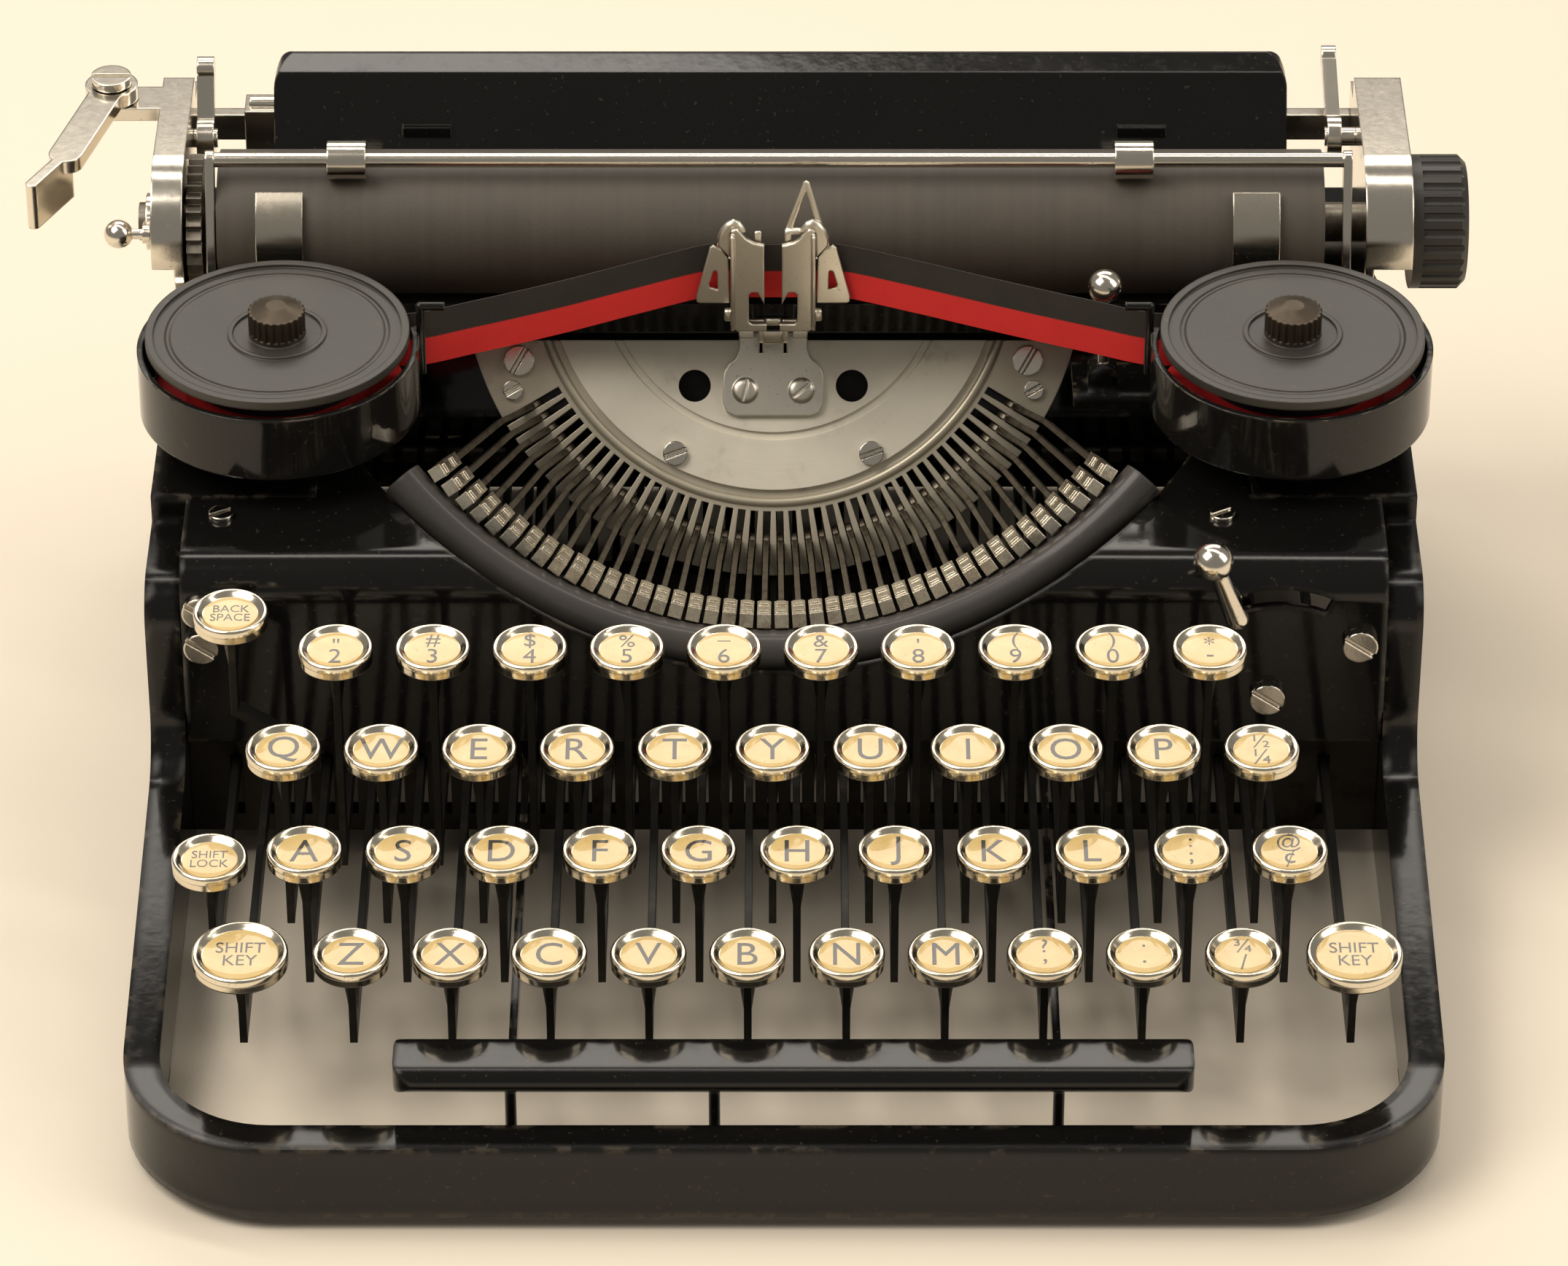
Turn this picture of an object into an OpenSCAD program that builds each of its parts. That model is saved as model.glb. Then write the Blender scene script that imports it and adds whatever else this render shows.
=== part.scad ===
// Portable four-bank typewriter with a shifting carriage, standing on its rubber feet.
// +X is the typist's right, +Y runs from the typist to the paper, +Z is up.
// The pieces are drawn about the front of the frame and then set down on the table.

/* [Frame] */
// Width of the base frame over the side rails
frame_w = 255.4; // [250:0.2:262]
// Depth of the base frame from front face to rear face
frame_d = 258; // [256:1:266]
// Thickness of the side rails and of the rear wall
rail_t = 7; // [6:0.1:8]
// Thickness of the front bar
front_bar_t = 7.5; // [6:0.1:9]
// Height of the front bar
front_bar_h = 16.6; // [14:0.1:17]
// Outer radius of the front corners
corner_r = 30; // [24:1:36]
// Height of the rounded shoulders beside the front cover
shoulder_h = 66; // [62:0.5:67]
// Height of the shelves that carry the ribbon cups
shelf_z = 72; // [71:0.5:74]
// Height of the low rear walls under the carriage
rear_wall_h = 56; // [50:0.5:57]
// Height of the rubber feet
foot_h = 3; // [2:0.5:6]
// Length of a rubber foot along its rail
foot_len = 16; // [10:1:24]

/* [Front cover] */
// Distance of the cover's front face from the front of the frame
cover_y = 114; // [112.5:0.5:115]
// Lower edge of the cover
cover_z = 30; // [28:0.5:34]
// Thickness of the cover sheet
cover_t = 1.6; // [1:0.1:2.4]
// Radius of the bend between front face and deck
cover_bend_r = 8; // [5:0.5:10]
// Radius of the rolled rim in its section
rim_r = 4.2; // [3:0.1:4.4]
// Radius of the rim's arc round the type basket
rim_arc_r = 97.5; // [94:0.5:100]

/* [Keyboard] */
// Distance between neighbouring keys of a row
key_pitch = 19.05; // [18:0.05:19.5]
// Outer diameter of a key ring
key_d = 14.6; // [12:0.1:15.5]
// Outer diameter of a shift key ring
shift_key_d = 18.4; // [15:0.1:19]
// Height of a key ring
key_ring_h = 3; // [2:0.1:4]
// Rise from one row of keys to the next
row_rise = 10.5; // [9:0.1:11]
// Distance of the front row from the front of the frame
row_y = 33.55; // [31:0.05:36]
// Height of the front row's key tops
row_z = 38; // [36:0.1:40]
// Thickness of a key lever
lever_t = 1.5; // [1:0.1:1.8]
// Height of a key lever
lever_h = 5; // [4:0.1:5.2]
// Lower edge of the key levers
lever_z = 17.6; // [17:0.1:18.5]
// Diameter of the shaft that the key levers turn on
lever_shaft_d = 5; // [3:0.1:6]
// Length of the space bar
space_bar_w = 153; // [120:1:160]

/* [Type basket] */
// Number of type bars
bar_count = 42; // [30:2:44]
// Angle between neighbouring type bars
bar_step = 2.9; // [2.6:0.05:2.95]
// Thickness of a type bar
bar_t = 1.1; // [1:0.05:1.4]
// Radius of the fulcrum wire's arc
wire_arc_r = 59; // [58:0.5:60]
// Diameter of the fulcrum wire
wire_d = 2; // [1.5:0.1:2.2]
// Outer radius of the segment
segment_r = 65.5; // [64:0.5:67]
// Distance from the fulcrum wire to the middle of a type slug
bar_len = 66.2; // [65:0.2:67]
// Width of a type slug
slug_w = 2.8; // [2:0.1:3]
// Length of a type slug
slug_len = 12; // [9:0.5:12.5]

/* [Carriage] */
// Diameter of the platen
platen_d = 30; // [28:0.2:30]
// Length of the platen's rubber
platen_len = 228.5; // [220:0.5:229]
// Diameter of the platen shaft
platen_shaft_d = 8; // [5:0.2:9]
// Diameter of the platen knob
knob_d = 27.9; // [24:0.1:32]
// Width of the platen knob
knob_w = 11.4; // [8:0.2:16]
// Diameter of the feed rollers
feed_d = 9; // [6:0.2:9]
// Length of the paper table
table_len = 212.5; // [180:0.5:220]
// Diameter of the bail rod
bail_rod_d = 3.1; // [2:0.1:4]
// Diameter of the bail rollers
bail_roller_d = 8; // [6:0.1:8]
// Width of a bail roller
bail_roller_w = 8; // [5:0.5:12]

/* [Ribbon] */
// Outer diameter of a ribbon cup
cup_d = 57; // [52:0.5:57]
// Depth of a ribbon cup
cup_h = 14; // [12:0.5:14.5]
// Thickness of a cup's wall
cup_t = 1.2; // [0.8:0.1:1.6]
// Diameter of a spool's upper flange
spool_d = 53.4; // [48:0.2:53.6]
// Height of the ribbon
ribbon_h = 12.7; // [11:0.1:13]
// Thickness of the ribbon's band
ribbon_t = 0.4; // [0.3:0.05:0.5]

/* [Fits] */
// Radial running clearance of a shaft in its bore
run_gap = 0.05; // [0.02:0.01:0.1]
// Clearance between pieces that pass each other
slide_gap = 0.3; // [0.2:0.05:0.4]

/* [Hidden] */
$fn = 64;
eps = 0.01;

// Place of the machine on the table: the middle of its footprint is the origin
machine_x = 6.92;
machine_y = -129.2;

// Inner faces of the frame
half_w = frame_w / 2;
inner_x = half_w - rail_t;
rear_in_y = frame_d - rail_t;
rear_plate_t = 1.5;

// Keyboard rows, from the number row down to the front row
lever_pitch = key_pitch / 4;
lever_x0 = -97.5;
row_first_lever = [2, 0, 1, 3];
row_keys = [10, 11, 11, 10];
fulcrum_y = 235;
fulcrum_z = 20.3;
hub_r = 4.5;
key_tilt = 2.5;
neck_in = 1;
sample_lever = 20;
function lever_x(i) = lever_x0 + i * lever_pitch;
function row_at_y(r) = row_y + (3 - r) * key_pitch;
function row_at_z(r) = row_z + (3 - r) * row_rise;

// Type basket: the segment leans back, its centre is the point the slots run to
basket_x = lever_x(20.5) - lever_pitch / 2;
segment_y = 221.4;
segment_z = 76.2;
segment_tilt = 56;
segment_front = 2.5;
segment_back = 5.5;
segment_cut = 16;
slot_w = bar_t + 0.5;
slot_r = 52;
bar_rise = 78;
bar_side_drop = 5.5;
bar_bend = 4.5;
bar_knee = 24;
rim_tilt = 50;
rim_y = 119.5;
rim_z = 48.5;
rim_half_angle = 50;

// Carriage
platen_y = 211.5;
platen_z = 93;
platen_x0 = -117;
plate_t = 2;
plate_left_x = -126;
plate_right_x = 119.9;
cap_left_x = -130.5;
cap_right_x = 129.7;
cap_r = 16;
cap_t = 3;
beam_y0 = 229;
beam_y1 = 243;
beam_z0 = 66;
beam_z1 = 82;
rail_y = 236;
rail_head_w = 8;
rail_head_z0 = 70;
rail_head_h = 6;
rail_web_t = 2;
rail_foot_z = 50;
rail_foot_h = 5;
rail_foot_w = 16;
rail_half = 116;
post_x = 95;
post_d = 6;
post_top = 63;
bridge_z0 = 28;
bridge_z1 = 34;

// Rack and escapement
rack_module = 1.2;
pinion_teeth = 12;
pinion_r = rack_module * pinion_teeth / 2;
wheel_z = rail_foot_z + rail_foot_h / 2;
wheel_r = 15;
wheel_y = 245;
wheel_t = 1.5;
rack_y = 246.8;
rack_t = 2;
rack_top = 73;
rack_half = 102;
stud_d = 4;

// Ribbon
cup_y = 162;
cup_xs = [-102.4, 102.8];
cup_z = 80.3;
lid_z = 95.8;
lid_t = 1.2;
spindle_d = 4.8;
core_d = 16;
wound_d = 38;
vibrator_y = 190.4;
sheet_t = 1.2;
ribbon_y = 193.5;
ribbon_mid_z = 92.1;
ribbon_cup_z = 89.1;
ribbon_cup_in = 76.5;
ribbon_cup_y = 172;
loop_x0 = -16.3;
loop_x1 = 12.2;

enamel = [0.08, 0.08, 0.09];
nickel = [0.75, 0.65, 0.45];
card_cream = [0.83, 0.72, 0.48];
steel = [0.5, 0.48, 0.42];
rubber_grey = [0.28, 0.26, 0.22];
cloth_black = [0.17, 0.15, 0.14];
bronze = [0.3, 0.26, 0.2];

// Helpers

// Sets a piece down on the table
module on_table() {
    translate([machine_x, machine_y, foot_h]) children();
}

// A cylinder along X from x0 to x1 with its axis at y, z
module rod_x(x0, x1, y, z, d) {
    translate([x0, y, z]) rotate([0, 90, 0]) cylinder(h = x1 - x0, d = d);
}

// A cylinder along Y from y0 to y1 with its axis at x, z
module rod_y(y0, y1, x, z, d) {
    translate([x, y0, z]) rotate([-90, 0, 0]) cylinder(h = y1 - y0, d = d);
}

// Extrudes a side outline drawn in Y and Z from x0 to x1
module side_plate(x0, x1) {
    translate([x0, 0, 0]) rotate([90, 0, 90]) linear_extrude(x1 - x0) children();
}

// Extrudes a front outline drawn in X and Z from y0 to y1
module front_plate(y0, y1) {
    translate([0, y1, 0]) rotate([90, 0, 0]) linear_extrude(y1 - y0) children();
}

// A block between two corners
module block(a, b) {
    translate(a) cube(b - a);
}

// The segment's own frame: X across, Y up its face, Z out of its face
module segment_frame() {
    translate([basket_x, segment_y, segment_z]) rotate([segment_tilt, 0, 0]) children();
}

// A flat bar with round ends between two points of an outline
module link_2d(p, q, d) {
    run = q - p;
    reach = norm(run);
    translate(p) rotate(atan2(run[1], run[0])) {
        circle(d = d);
        translate([reach, 0]) circle(d = d);
        translate([0, -d / 2]) square([reach, d]);
    }
}

// Base frame

module frame_outline() {
    rear_r = 12;
    rear_y = frame_d - rear_r;
    translate([-half_w, corner_r]) square([frame_w, rear_y - corner_r]);
    translate([-half_w + corner_r, 0]) square([frame_w - 2 * corner_r, corner_r + eps]);
    translate([-half_w + rear_r, rear_y - eps]) square([frame_w - 2 * rear_r, rear_r + eps]);
    for (s = [-1, 1]) {
        translate([s * (half_w - corner_r), corner_r]) circle(r = corner_r);
        translate([s * (half_w - rear_r), rear_y]) circle(r = rear_r);
    }
}

module frame_opening() {
    r = corner_r - front_bar_t;
    translate([-inner_x, front_bar_t + r]) square([2 * inner_x, rear_in_y - front_bar_t - r]);
    translate([-inner_x + r, front_bar_t]) square([2 * (inner_x - r), r + eps]);
    for (s = [-1, 1]) {
        translate([s * (inner_x - r), front_bar_t + r]) circle(r = r);
    }
}

// Side view of the rails: low at the front, a rounded shoulder, the cup shelf, the low rear wall
module frame_profile() {
    shoulder_r = 9;
    foot_r = 12;
    shelf_y0 = 140;
    shelf_y1 = 190;
    rail_rise = 9;
    rise_z = front_bar_h + rail_rise;
    square([frame_d, front_bar_h]);
    polygon([[25, front_bar_h], [cover_y - foot_r, rise_z], [cover_y + 3, rise_z], [cover_y + 3, 5], [25, 5]]);
    difference() {
        translate([cover_y - foot_r, rise_z - 3]) square([foot_r + 3, foot_r + 3]);
        translate([cover_y - foot_r, rise_z + foot_r]) circle(r = foot_r);
    }
    translate([cover_y, 0]) square([shelf_y1 - cover_y, shoulder_h - shoulder_r]);
    translate([cover_y + shoulder_r, 0]) square([shelf_y1 - cover_y - shoulder_r, shoulder_h]);
    translate([cover_y + shoulder_r, shoulder_h - shoulder_r]) circle(r = shoulder_r);
    translate([shelf_y0, 0]) square([shelf_y1 - shelf_y0, shelf_z]);
    translate([cover_y, 0]) square([frame_d - cover_y, rear_wall_h]);
}

selector_x = 65.6;
selector_y = 181;
selector_z = shelf_z + 3.5;
ear_t = 1.2;
selector_t = 2.6;
shelf_t = 3;
shelf_in = 26;

module base_frame() {
    color(enamel) on_table() {
        ear_r = 3;
        difference() {
            intersection() {
                linear_extrude(shelf_z) frame_outline();
                side_plate(-half_w, half_w) frame_profile();
            }
            translate([0, 0, -1]) linear_extrude(shelf_z + 2) frame_opening();
            rod_x(-inner_x - 3, inner_x + 3, fulcrum_y, fulcrum_z, lever_shaft_d + 2 * run_gap);
            block([-90, rear_in_y - 1, 24], [90, frame_d + 1, 46]);
        }
        for (s = [-1, 1]) {
            x = s > 0 ? inner_x - shelf_in : -inner_x - 1;
            block([x, 140, shelf_z - shelf_t], [x + shelf_in + 1, 190, shelf_z]);
        }
        block([selector_x - 6, 177, shelf_z - shelf_t], [inner_x, 190, shelf_z]);
        for (s = [-1, 1]) {
            y = selector_y + s * (selector_t / 2 + slide_gap + ear_t / 2);
            front_plate(y - ear_t / 2, y + ear_t / 2) {
                translate([selector_x, selector_z]) circle(r = ear_r);
                translate([selector_x - ear_r, shelf_z - 1]) square([2 * ear_r, selector_z - shelf_z + 1]);
            }
        }
        pin_y = selector_t / 2 + slide_gap + ear_t;
        rod_y(selector_y - pin_y, selector_y + pin_y, selector_x, selector_z, wire_d);
        block([-inner_x - 1, rail_y - 7, bridge_z0], [inner_x + 1, rail_y + 4, bridge_z1]);
        block([-inner_x - 1, sub_y - 4, floor_z0], [inner_x + 1, sub_y + 4, floor_z1]);
        segment_frame()
            block([-inner_x - basket_x - 1, -32, -segment_back - 8], [inner_x - basket_x + 1, -18, -segment_back]);
    }
}

// Four oblong pads under the side rails
module rubber_feet() {
    pad_w = rail_t - 0.6;
    color(rubber_grey) on_table() {
        for (s = [-1, 1]) {
            for (y = [44, 232]) {
                translate([s * (half_w - rail_t / 2), y, -foot_h]) linear_extrude(foot_h) {
                    link_2d([0, -(foot_len - pad_w) / 2], [0, (foot_len - pad_w) / 2], pad_w);
                }
            }
        }
    }
}

module rear_plate() {
    plate_x = inner_x - slide_gap;
    drum_stud = 6;
    color(enamel) on_table() {
        block([-plate_x, rear_in_y - rear_plate_t, 12], [plate_x, rear_in_y, rear_wall_h - 2]);
        rod_y(rear_in_y - rear_plate_t - drum_stud, rear_in_y - rear_plate_t + eps, drum_x, drum_z, stud_d);
        rod_y(rear_in_y - rear_plate_t - drum_stud, rear_in_y - rear_plate_t + eps, hammer_x, hammer_z, stud_d);
        rod_y(bell_y0 + 0.5, rear_in_y - rear_plate_t + eps, bell_x, bell_z, stud_d);
    }
}

// Front cover and the rolled rim round the type basket

reverse_x = 99;
reverse_z = 40;
reverse_arm = 25;
reverse_turn = 40;
reverse_lean = 21;
reverse_d = 3;

module cover_profile() {
    r = cover_bend_r;
    in_r = r - cover_t;
    deck_end = 140 - slide_gap;
    difference() {
        union() {
            translate([cover_y, cover_z]) square([r, shelf_z - r - cover_z]);
            translate([cover_y + r, shelf_z - r]) circle(r = r);
            translate([cover_y + r, shelf_z - r]) square([deck_end - cover_y - r, r]);
        }
        translate([cover_y + cover_t, cover_z - 1]) square([r, shelf_z - r - cover_z + 1]);
        translate([cover_y + r, shelf_z - r]) circle(r = in_r);
        translate([cover_y + r, cover_z - 1]) square([deck_end, shelf_z - cover_t - cover_z + 1]);
    }
}

module rim_frame() {
    translate([basket_x, rim_y, rim_z]) rotate([rim_tilt, 0, 0]) translate([0, rim_arc_r, 0]) children();
}

// Slot that the reverse lever's stem travels in
module reverse_slot() {
    half_slot = reverse_d / 2 + slide_gap;
    turn = 2 * half_slot / reverse_arm * 90 / PI;
    front_plate(cover_y - 1, cover_y + cover_t + 1) translate([reverse_x, reverse_z]) {
        intersection() {
            difference() {
                circle(r = reverse_arm + half_slot);
                circle(r = reverse_arm - half_slot);
            }
            polygon([[0, 0], for (a = [-reverse_lean - turn, reverse_turn - reverse_lean + turn])
                60 * [sin(a), cos(a)]]);
        }
    }
}

module front_cover() {
    cover_x = inner_x - slide_gap;
    deck_half = inner_x - shelf_in - slide_gap;
    deck_rear = 162;
    color(enamel) on_table() {
        difference() {
            union() {
                side_plate(-cover_x, cover_x) cover_profile();
                block([-deck_half, 130, shelf_z - cover_t], [deck_half, deck_rear, shelf_z]);
            }
            rim_frame() translate([0, 0, -60]) cylinder(h = 160, r = rim_arc_r + rim_r + 0.1, $fn = 200);
            reverse_slot();
        }
        rod_y(cover_y + cover_t - eps, reverse_y + reverse_t + 0.5, reverse_x, reverse_z, stud_d);
    }
}

module type_rest() {
    color(enamel) on_table() rim_frame() {
        rotate([0, 0, 270 - rim_half_angle]) rotate_extrude(angle = 2 * rim_half_angle, $fn = 128) {
            translate([rim_arc_r, 0]) circle(r = rim_r);
        }
    }
}

// Slotted screws on the front face and the deck of the cover
cover_screws = [[-116.5, 54], [115.2, 54.4], [97.1, 41.5], [-116.5, 62.5]];
module slotted_screw(d, h) {
    difference() {
        cylinder(h = h, d = d);
        translate([-d, -0.5, h - 0.9]) cube([2 * d, 1, 1]);
    }
}

module frame_screws() {
    color(nickel) on_table() {
        for (p = cover_screws) {
            translate([p[0], cover_y, p[1]]) rotate([90, 35, 0]) slotted_screw(7, 2);
        }
        for (x = [-113, 88]) {
            translate([x, 133, shelf_z]) rotate([0, 0, 30]) slotted_screw(5, 1);
        }
        segment_frame() for (s = [-1, 1]) {
            translate([s * 53.5, -20.3, segment_front]) rotate([0, 0, 60]) slotted_screw(6.4, 1);
            translate([s * 54.8, -26.5, segment_front]) rotate([0, 0, 30]) slotted_screw(4.2, 1);
            translate([s * 20.6, -39.8, segment_front + 1.2]) rotate([0, 0, 20]) slotted_screw(5.2, 1);
        }
    }
}

// Segment, its raised plate and the fulcrum wire

module segment_half(r) {
    intersection() {
        circle(r = r);
        translate([-100, -100]) square([200, 100 - segment_cut]);
    }
}

module bar_fan() {
    for (i = [0 : bar_count - 1]) {
        rotate([0, 0, (i - (bar_count - 1) / 2) * bar_step]) children();
    }
}

module wire_torus(d) {
    rotate_extrude($fn = 128) translate([wire_arc_r, 0]) circle(d = d, $fn = 24);
}

// The two round holes beside the type guide, through the raised plate and into the segment
module side_holes() {
    hole_d = 6.6;
    hole_x = 16.5;
    hole_y = 25.6;
    hole_deep = 4;
    for (s = [-1, 1]) {
        translate([s * hole_x, -hole_y, segment_front - hole_deep]) cylinder(h = hole_deep + 2 * plate_z, d = hole_d);
    }
}

module segment() {
    bead_r = 50;
    bead_d = 2;
    lever_top = lever_z + lever_h + 0.6;
    color(nickel) on_table() difference() {
        segment_frame() difference() {
            union() {
                translate([0, 0, -segment_back]) linear_extrude(segment_back + segment_front) segment_half(segment_r);
                intersection() {
                    translate([0, 0, segment_front]) rotate_extrude($fn = 128)
                        translate([bead_r, 0]) circle(d = bead_d, $fn = 24);
                    translate([0, 0, -1]) linear_extrude(10) segment_half(segment_r);
                }
            }
            bar_fan() block([-slot_w / 2, -segment_r - 1, -segment_back - 1], [slot_w / 2, -slot_r, segment_front + 1]);
            wire_torus(wire_d + 2 * run_gap);
            side_holes();
        }
        block([-inner_x, 150, 0], [inner_x, 220, lever_top]);
    }
}

module fulcrum_wire() {
    color(steel) on_table() segment_frame() {
        half_fan = (bar_count / 2) * bar_step;
        rotate([0, 0, 270 - half_fan]) rotate_extrude(angle = 2 * half_fan, $fn = 128) {
            translate([wire_arc_r, 0]) circle(d = wire_d, $fn = 24);
        }
    }
}

plate_z = 1.2;
module segment_plate() {
    outer_r = 47.5;
    groove_r = 37;
    groove_w = 1.6;
    color(nickel) on_table() segment_frame() difference() {
        translate([0, 0, segment_front]) linear_extrude(plate_z) segment_half(outer_r);
        translate([0, 0, segment_front + 0.5]) linear_extrude(plate_z) difference() {
            circle(r = groove_r);
            circle(r = groove_r - groove_w);
        }
        side_holes();
        translate([0, -segment_cut, 0]) cylinder(h = 10, d = 12);
    }
}

// Type bars

module type_bar(bend) {
    arm_h = 2.6;
    tip = bar_len - slug_len / 2 + 1;
    difference() {
        union() {
            side_plate(-bar_t / 2, bar_t / 2) {
                circle(r = 2.4);
                translate([-bar_knee, -arm_h / 2]) square([bar_knee, arm_h]);
            }
            translate([0, -bar_knee + 1, 0]) rotate([0, 0, bend]) {
                side_plate(-bar_t / 2, bar_t / 2) {
                    translate([-tip + bar_knee - 1, -arm_h / 2]) square([tip - bar_knee + 2, arm_h]);
                }
                translate([0, bar_knee - 1 - bar_len, 0]) {
                    block([-slug_w / 2, -slug_len / 2, -1.5], [slug_w / 2, slug_len / 2, 1.4]);
                    for (y = [-3, 3]) {
                        block([-slug_w / 2 + 0.4, y - 1.4, 1.3], [slug_w / 2 - 0.4, y + 1.4, 1.9]);
                    }
                }
            }
            children();
        }
        rod_x(-bar_t, bar_t, 0, 0, wire_d + 2 * run_gap);
    }
}

// Rest angle of the bar at fan angle a: the outer bars lean further out
function bar_lift(a) = bar_rise - bar_side_drop * pow(abs(a) / 59.45, 2);

module placed_bar(i) {
    a = (i - (bar_count - 1) / 2) * bar_step;
    segment_frame() rotate([0, 0, a]) translate([0, -wire_arc_r, 0]) rotate([-bar_lift(a), 0, 0]) {
        type_bar(-bar_bend * a / 59.45) children();
    }
}

module type_bars() {
    color(steel) on_table() for (i = [0 : bar_count - 1]) {
        if (i != sample_lever) placed_bar(i);
    }
}

// The bar of the sample key, with the tail that its link pulls
link_tail = 4.43;
tail_turn = -30;
link_d = 1.2;
bar_x = basket_x - wire_arc_r * sin(bar_step / 2);
module striking_type_bar() {
    color(steel) on_table() placed_bar(sample_lever) {
        side_plate(-bar_t / 2, bar_t / 2) link_2d([0, 0], link_tail * [cos(tail_turn), sin(tail_turn)], 2.6);
    }
}

// Sub-lever of the sample key: the key's pin presses its foot, its upright pulls the link
sub_y = 152;
sub_z = 13.8;
sub_t = 1;
sub_w = 3;
sub_foot = 12;
sub_up = 10;
sub_stud_d = 2.4;
floor_z0 = 3;
floor_z1 = 7;
stay_t = 0.8;
press_d = 1.6;
press_y = sub_y - sub_foot;
press_z = sub_z + 2 + press_d / 2 + 0.2;
sub_x = lever_x(sample_lever) - lever_t / 2 - 0.8 - sub_t;
stay_x = sub_x - 0.25 - stay_t;

module sub_lever() {
    color(steel) on_table() {
        difference() {
            side_plate(sub_x, sub_x + sub_t) {
                translate([sub_y, sub_z]) circle(r = 2.4);
                link_2d([sub_y, sub_z], [press_y, sub_z], 4);
                link_2d([sub_y, sub_z], [sub_y, sub_z + sub_up], sub_w);
            }
            rod_x(sub_x - 1, sub_x + sub_t + 1, sub_y, sub_z, sub_stud_d + 2 * run_gap);
        }
        rod_x(sub_x + sub_t - eps, bar_x + link_d / 2 + 0.2, sub_y, sub_z + sub_up, press_d);
    }
}

module type_bar_link() {
    tail_y = segment_y - wire_arc_r * cos(segment_tilt) + 2.74;
    tail_z = sub_z + sub_up;
    color(steel) on_table() {
        rod_y(sub_y + sub_w / 2 + 0.4, tail_y - 2.5, bar_x, tail_z, link_d);
    }
}

// Shaft of the key levers and the slotted comb that keeps them apart

module lever_shaft() {
    color(steel) on_table() rod_x(-inner_x - 3, inner_x + 3, fulcrum_y, fulcrum_z, lever_shaft_d);
}

comb_y0 = 119;
comb_y1 = 123;
comb_drop = 9.5;
extra_levers = [-111.2, -104.5, -101, 109.6];
space_arms = [lever_x(9.5), lever_x(31.5)];

module lever_comb() {
    slot_half = lever_t / 2 + 0.4;
    all_x = [for (i = [0 : 41]) lever_x(i), for (x = extra_levers) x, for (x = space_arms) x];
    color(steel) on_table() {
        difference() {
            block([-inner_x, comb_y0, lever_z - comb_drop - 4], [inner_x, comb_y1, lever_z + lever_h + 4]);
            for (x = all_x) {
                block([x - slot_half, comb_y0 - 1, lever_z - comb_drop],
                    [x + slot_half, comb_y1 + 1, lever_z + lever_h + 0.6]);
            }
        }
        block([stay_x, sub_y - 4, floor_z1], [stay_x + stay_t, sub_y + 4, sub_z + 3]);
        rod_x(stay_x + stay_t - eps, sub_x + sub_t + slide_gap, sub_y, sub_z, sub_stud_d);
    }
}

// Keys

// A lever with its hub on the shaft, its front end and its upright stem
module key_lever(x, y, z) {
    stem_w = 4;
    difference() {
        side_plate(x - lever_t / 2, x + lever_t / 2) {
            translate([fulcrum_y, fulcrum_z]) circle(r = hub_r);
            translate([y - stem_w / 2, lever_z]) square([fulcrum_y - y + stem_w / 2, lever_h]);
            translate([y - stem_w / 2, lever_z]) square([stem_w, z - key_ring_h - lever_z]);
        }
        rod_x(x - lever_t, x + lever_t, fulcrum_y, fulcrum_z, lever_shaft_d + 2 * run_gap);
    }
    neck_h = min(11, z - key_ring_h - lever_z - 2);
    translate([x, y, z - key_ring_h - neck_h]) cylinder(h = neck_h + neck_in, d1 = lever_t, d2 = 4.6, $fn = 24);
}

// A key top: a nickel ring that holds a card under glass
module key_top(x, y, z, d) {
    rim = 1.3;
    translate([x, y, z - key_ring_h]) rotate([key_tilt, 0, 0]) difference() {
        translate([0, 0, 0.4]) rotate_extrude($fn = 48) {
            square([d / 2 - 0.8, key_ring_h - 0.4]);
            square([d / 2, key_ring_h - 1.2]);
            translate([d / 2 - 0.8, key_ring_h - 1.2]) circle(r = 0.8, $fn = 24);
        }
        translate([0, 0, key_ring_h - 0.5]) cylinder(h = 2, d = d - 2 * rim, $fn = 48);
    }
}

module row_of_keys(r, skip) {
    for (k = [0 : row_keys[r] - 1]) {
        i = row_first_lever[r] + 4 * k;
        if (i != skip) {
            key_lever(lever_x(i), row_at_y(r), row_at_z(r));
            key_top(lever_x(i), row_at_y(r), row_at_z(r), key_d);
        }
    }
}

module number_key_bank() {
    color(card_cream) on_table() row_of_keys(0, -1);
}

module upper_key_bank() {
    color(card_cream) on_table() row_of_keys(1, sample_lever);
}

module home_key_bank() {
    color(card_cream) on_table() row_of_keys(2, -1);
}

module lower_key_bank() {
    color(card_cream) on_table() row_of_keys(3, -1);
}

module sample_key() {
    x = lever_x(sample_lever);
    color(card_cream) on_table() {
        key_lever(x, row_at_y(1), row_at_z(1));
        key_top(x, row_at_y(1), row_at_z(1), key_d);
        block([x - lever_t / 2, press_y - 1.5, press_z], [x + lever_t / 2, press_y + 1.5, lever_z + eps]);
        rod_x(sub_x - 0.2, x, press_y, press_z, press_d);
    }
}

shift_x = [-104.5, 109.6];
tie_y = 205;
tie_z = 10;
tie_d = 3;
module shift_keys() {
    color(card_cream) on_table() {
        for (x = shift_x) {
            key_lever(x, row_y, row_z);
            key_top(x, row_y, row_z, shift_key_d);
            side_plate(x - lever_t / 2, x + lever_t / 2) {
                link_2d([tie_y, tie_z], [tie_y, lever_z + 1], tie_d);
            }
        }
        rod_x(shift_x[0], shift_x[1], tie_y, tie_z, tie_d);
    }
}

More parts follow.
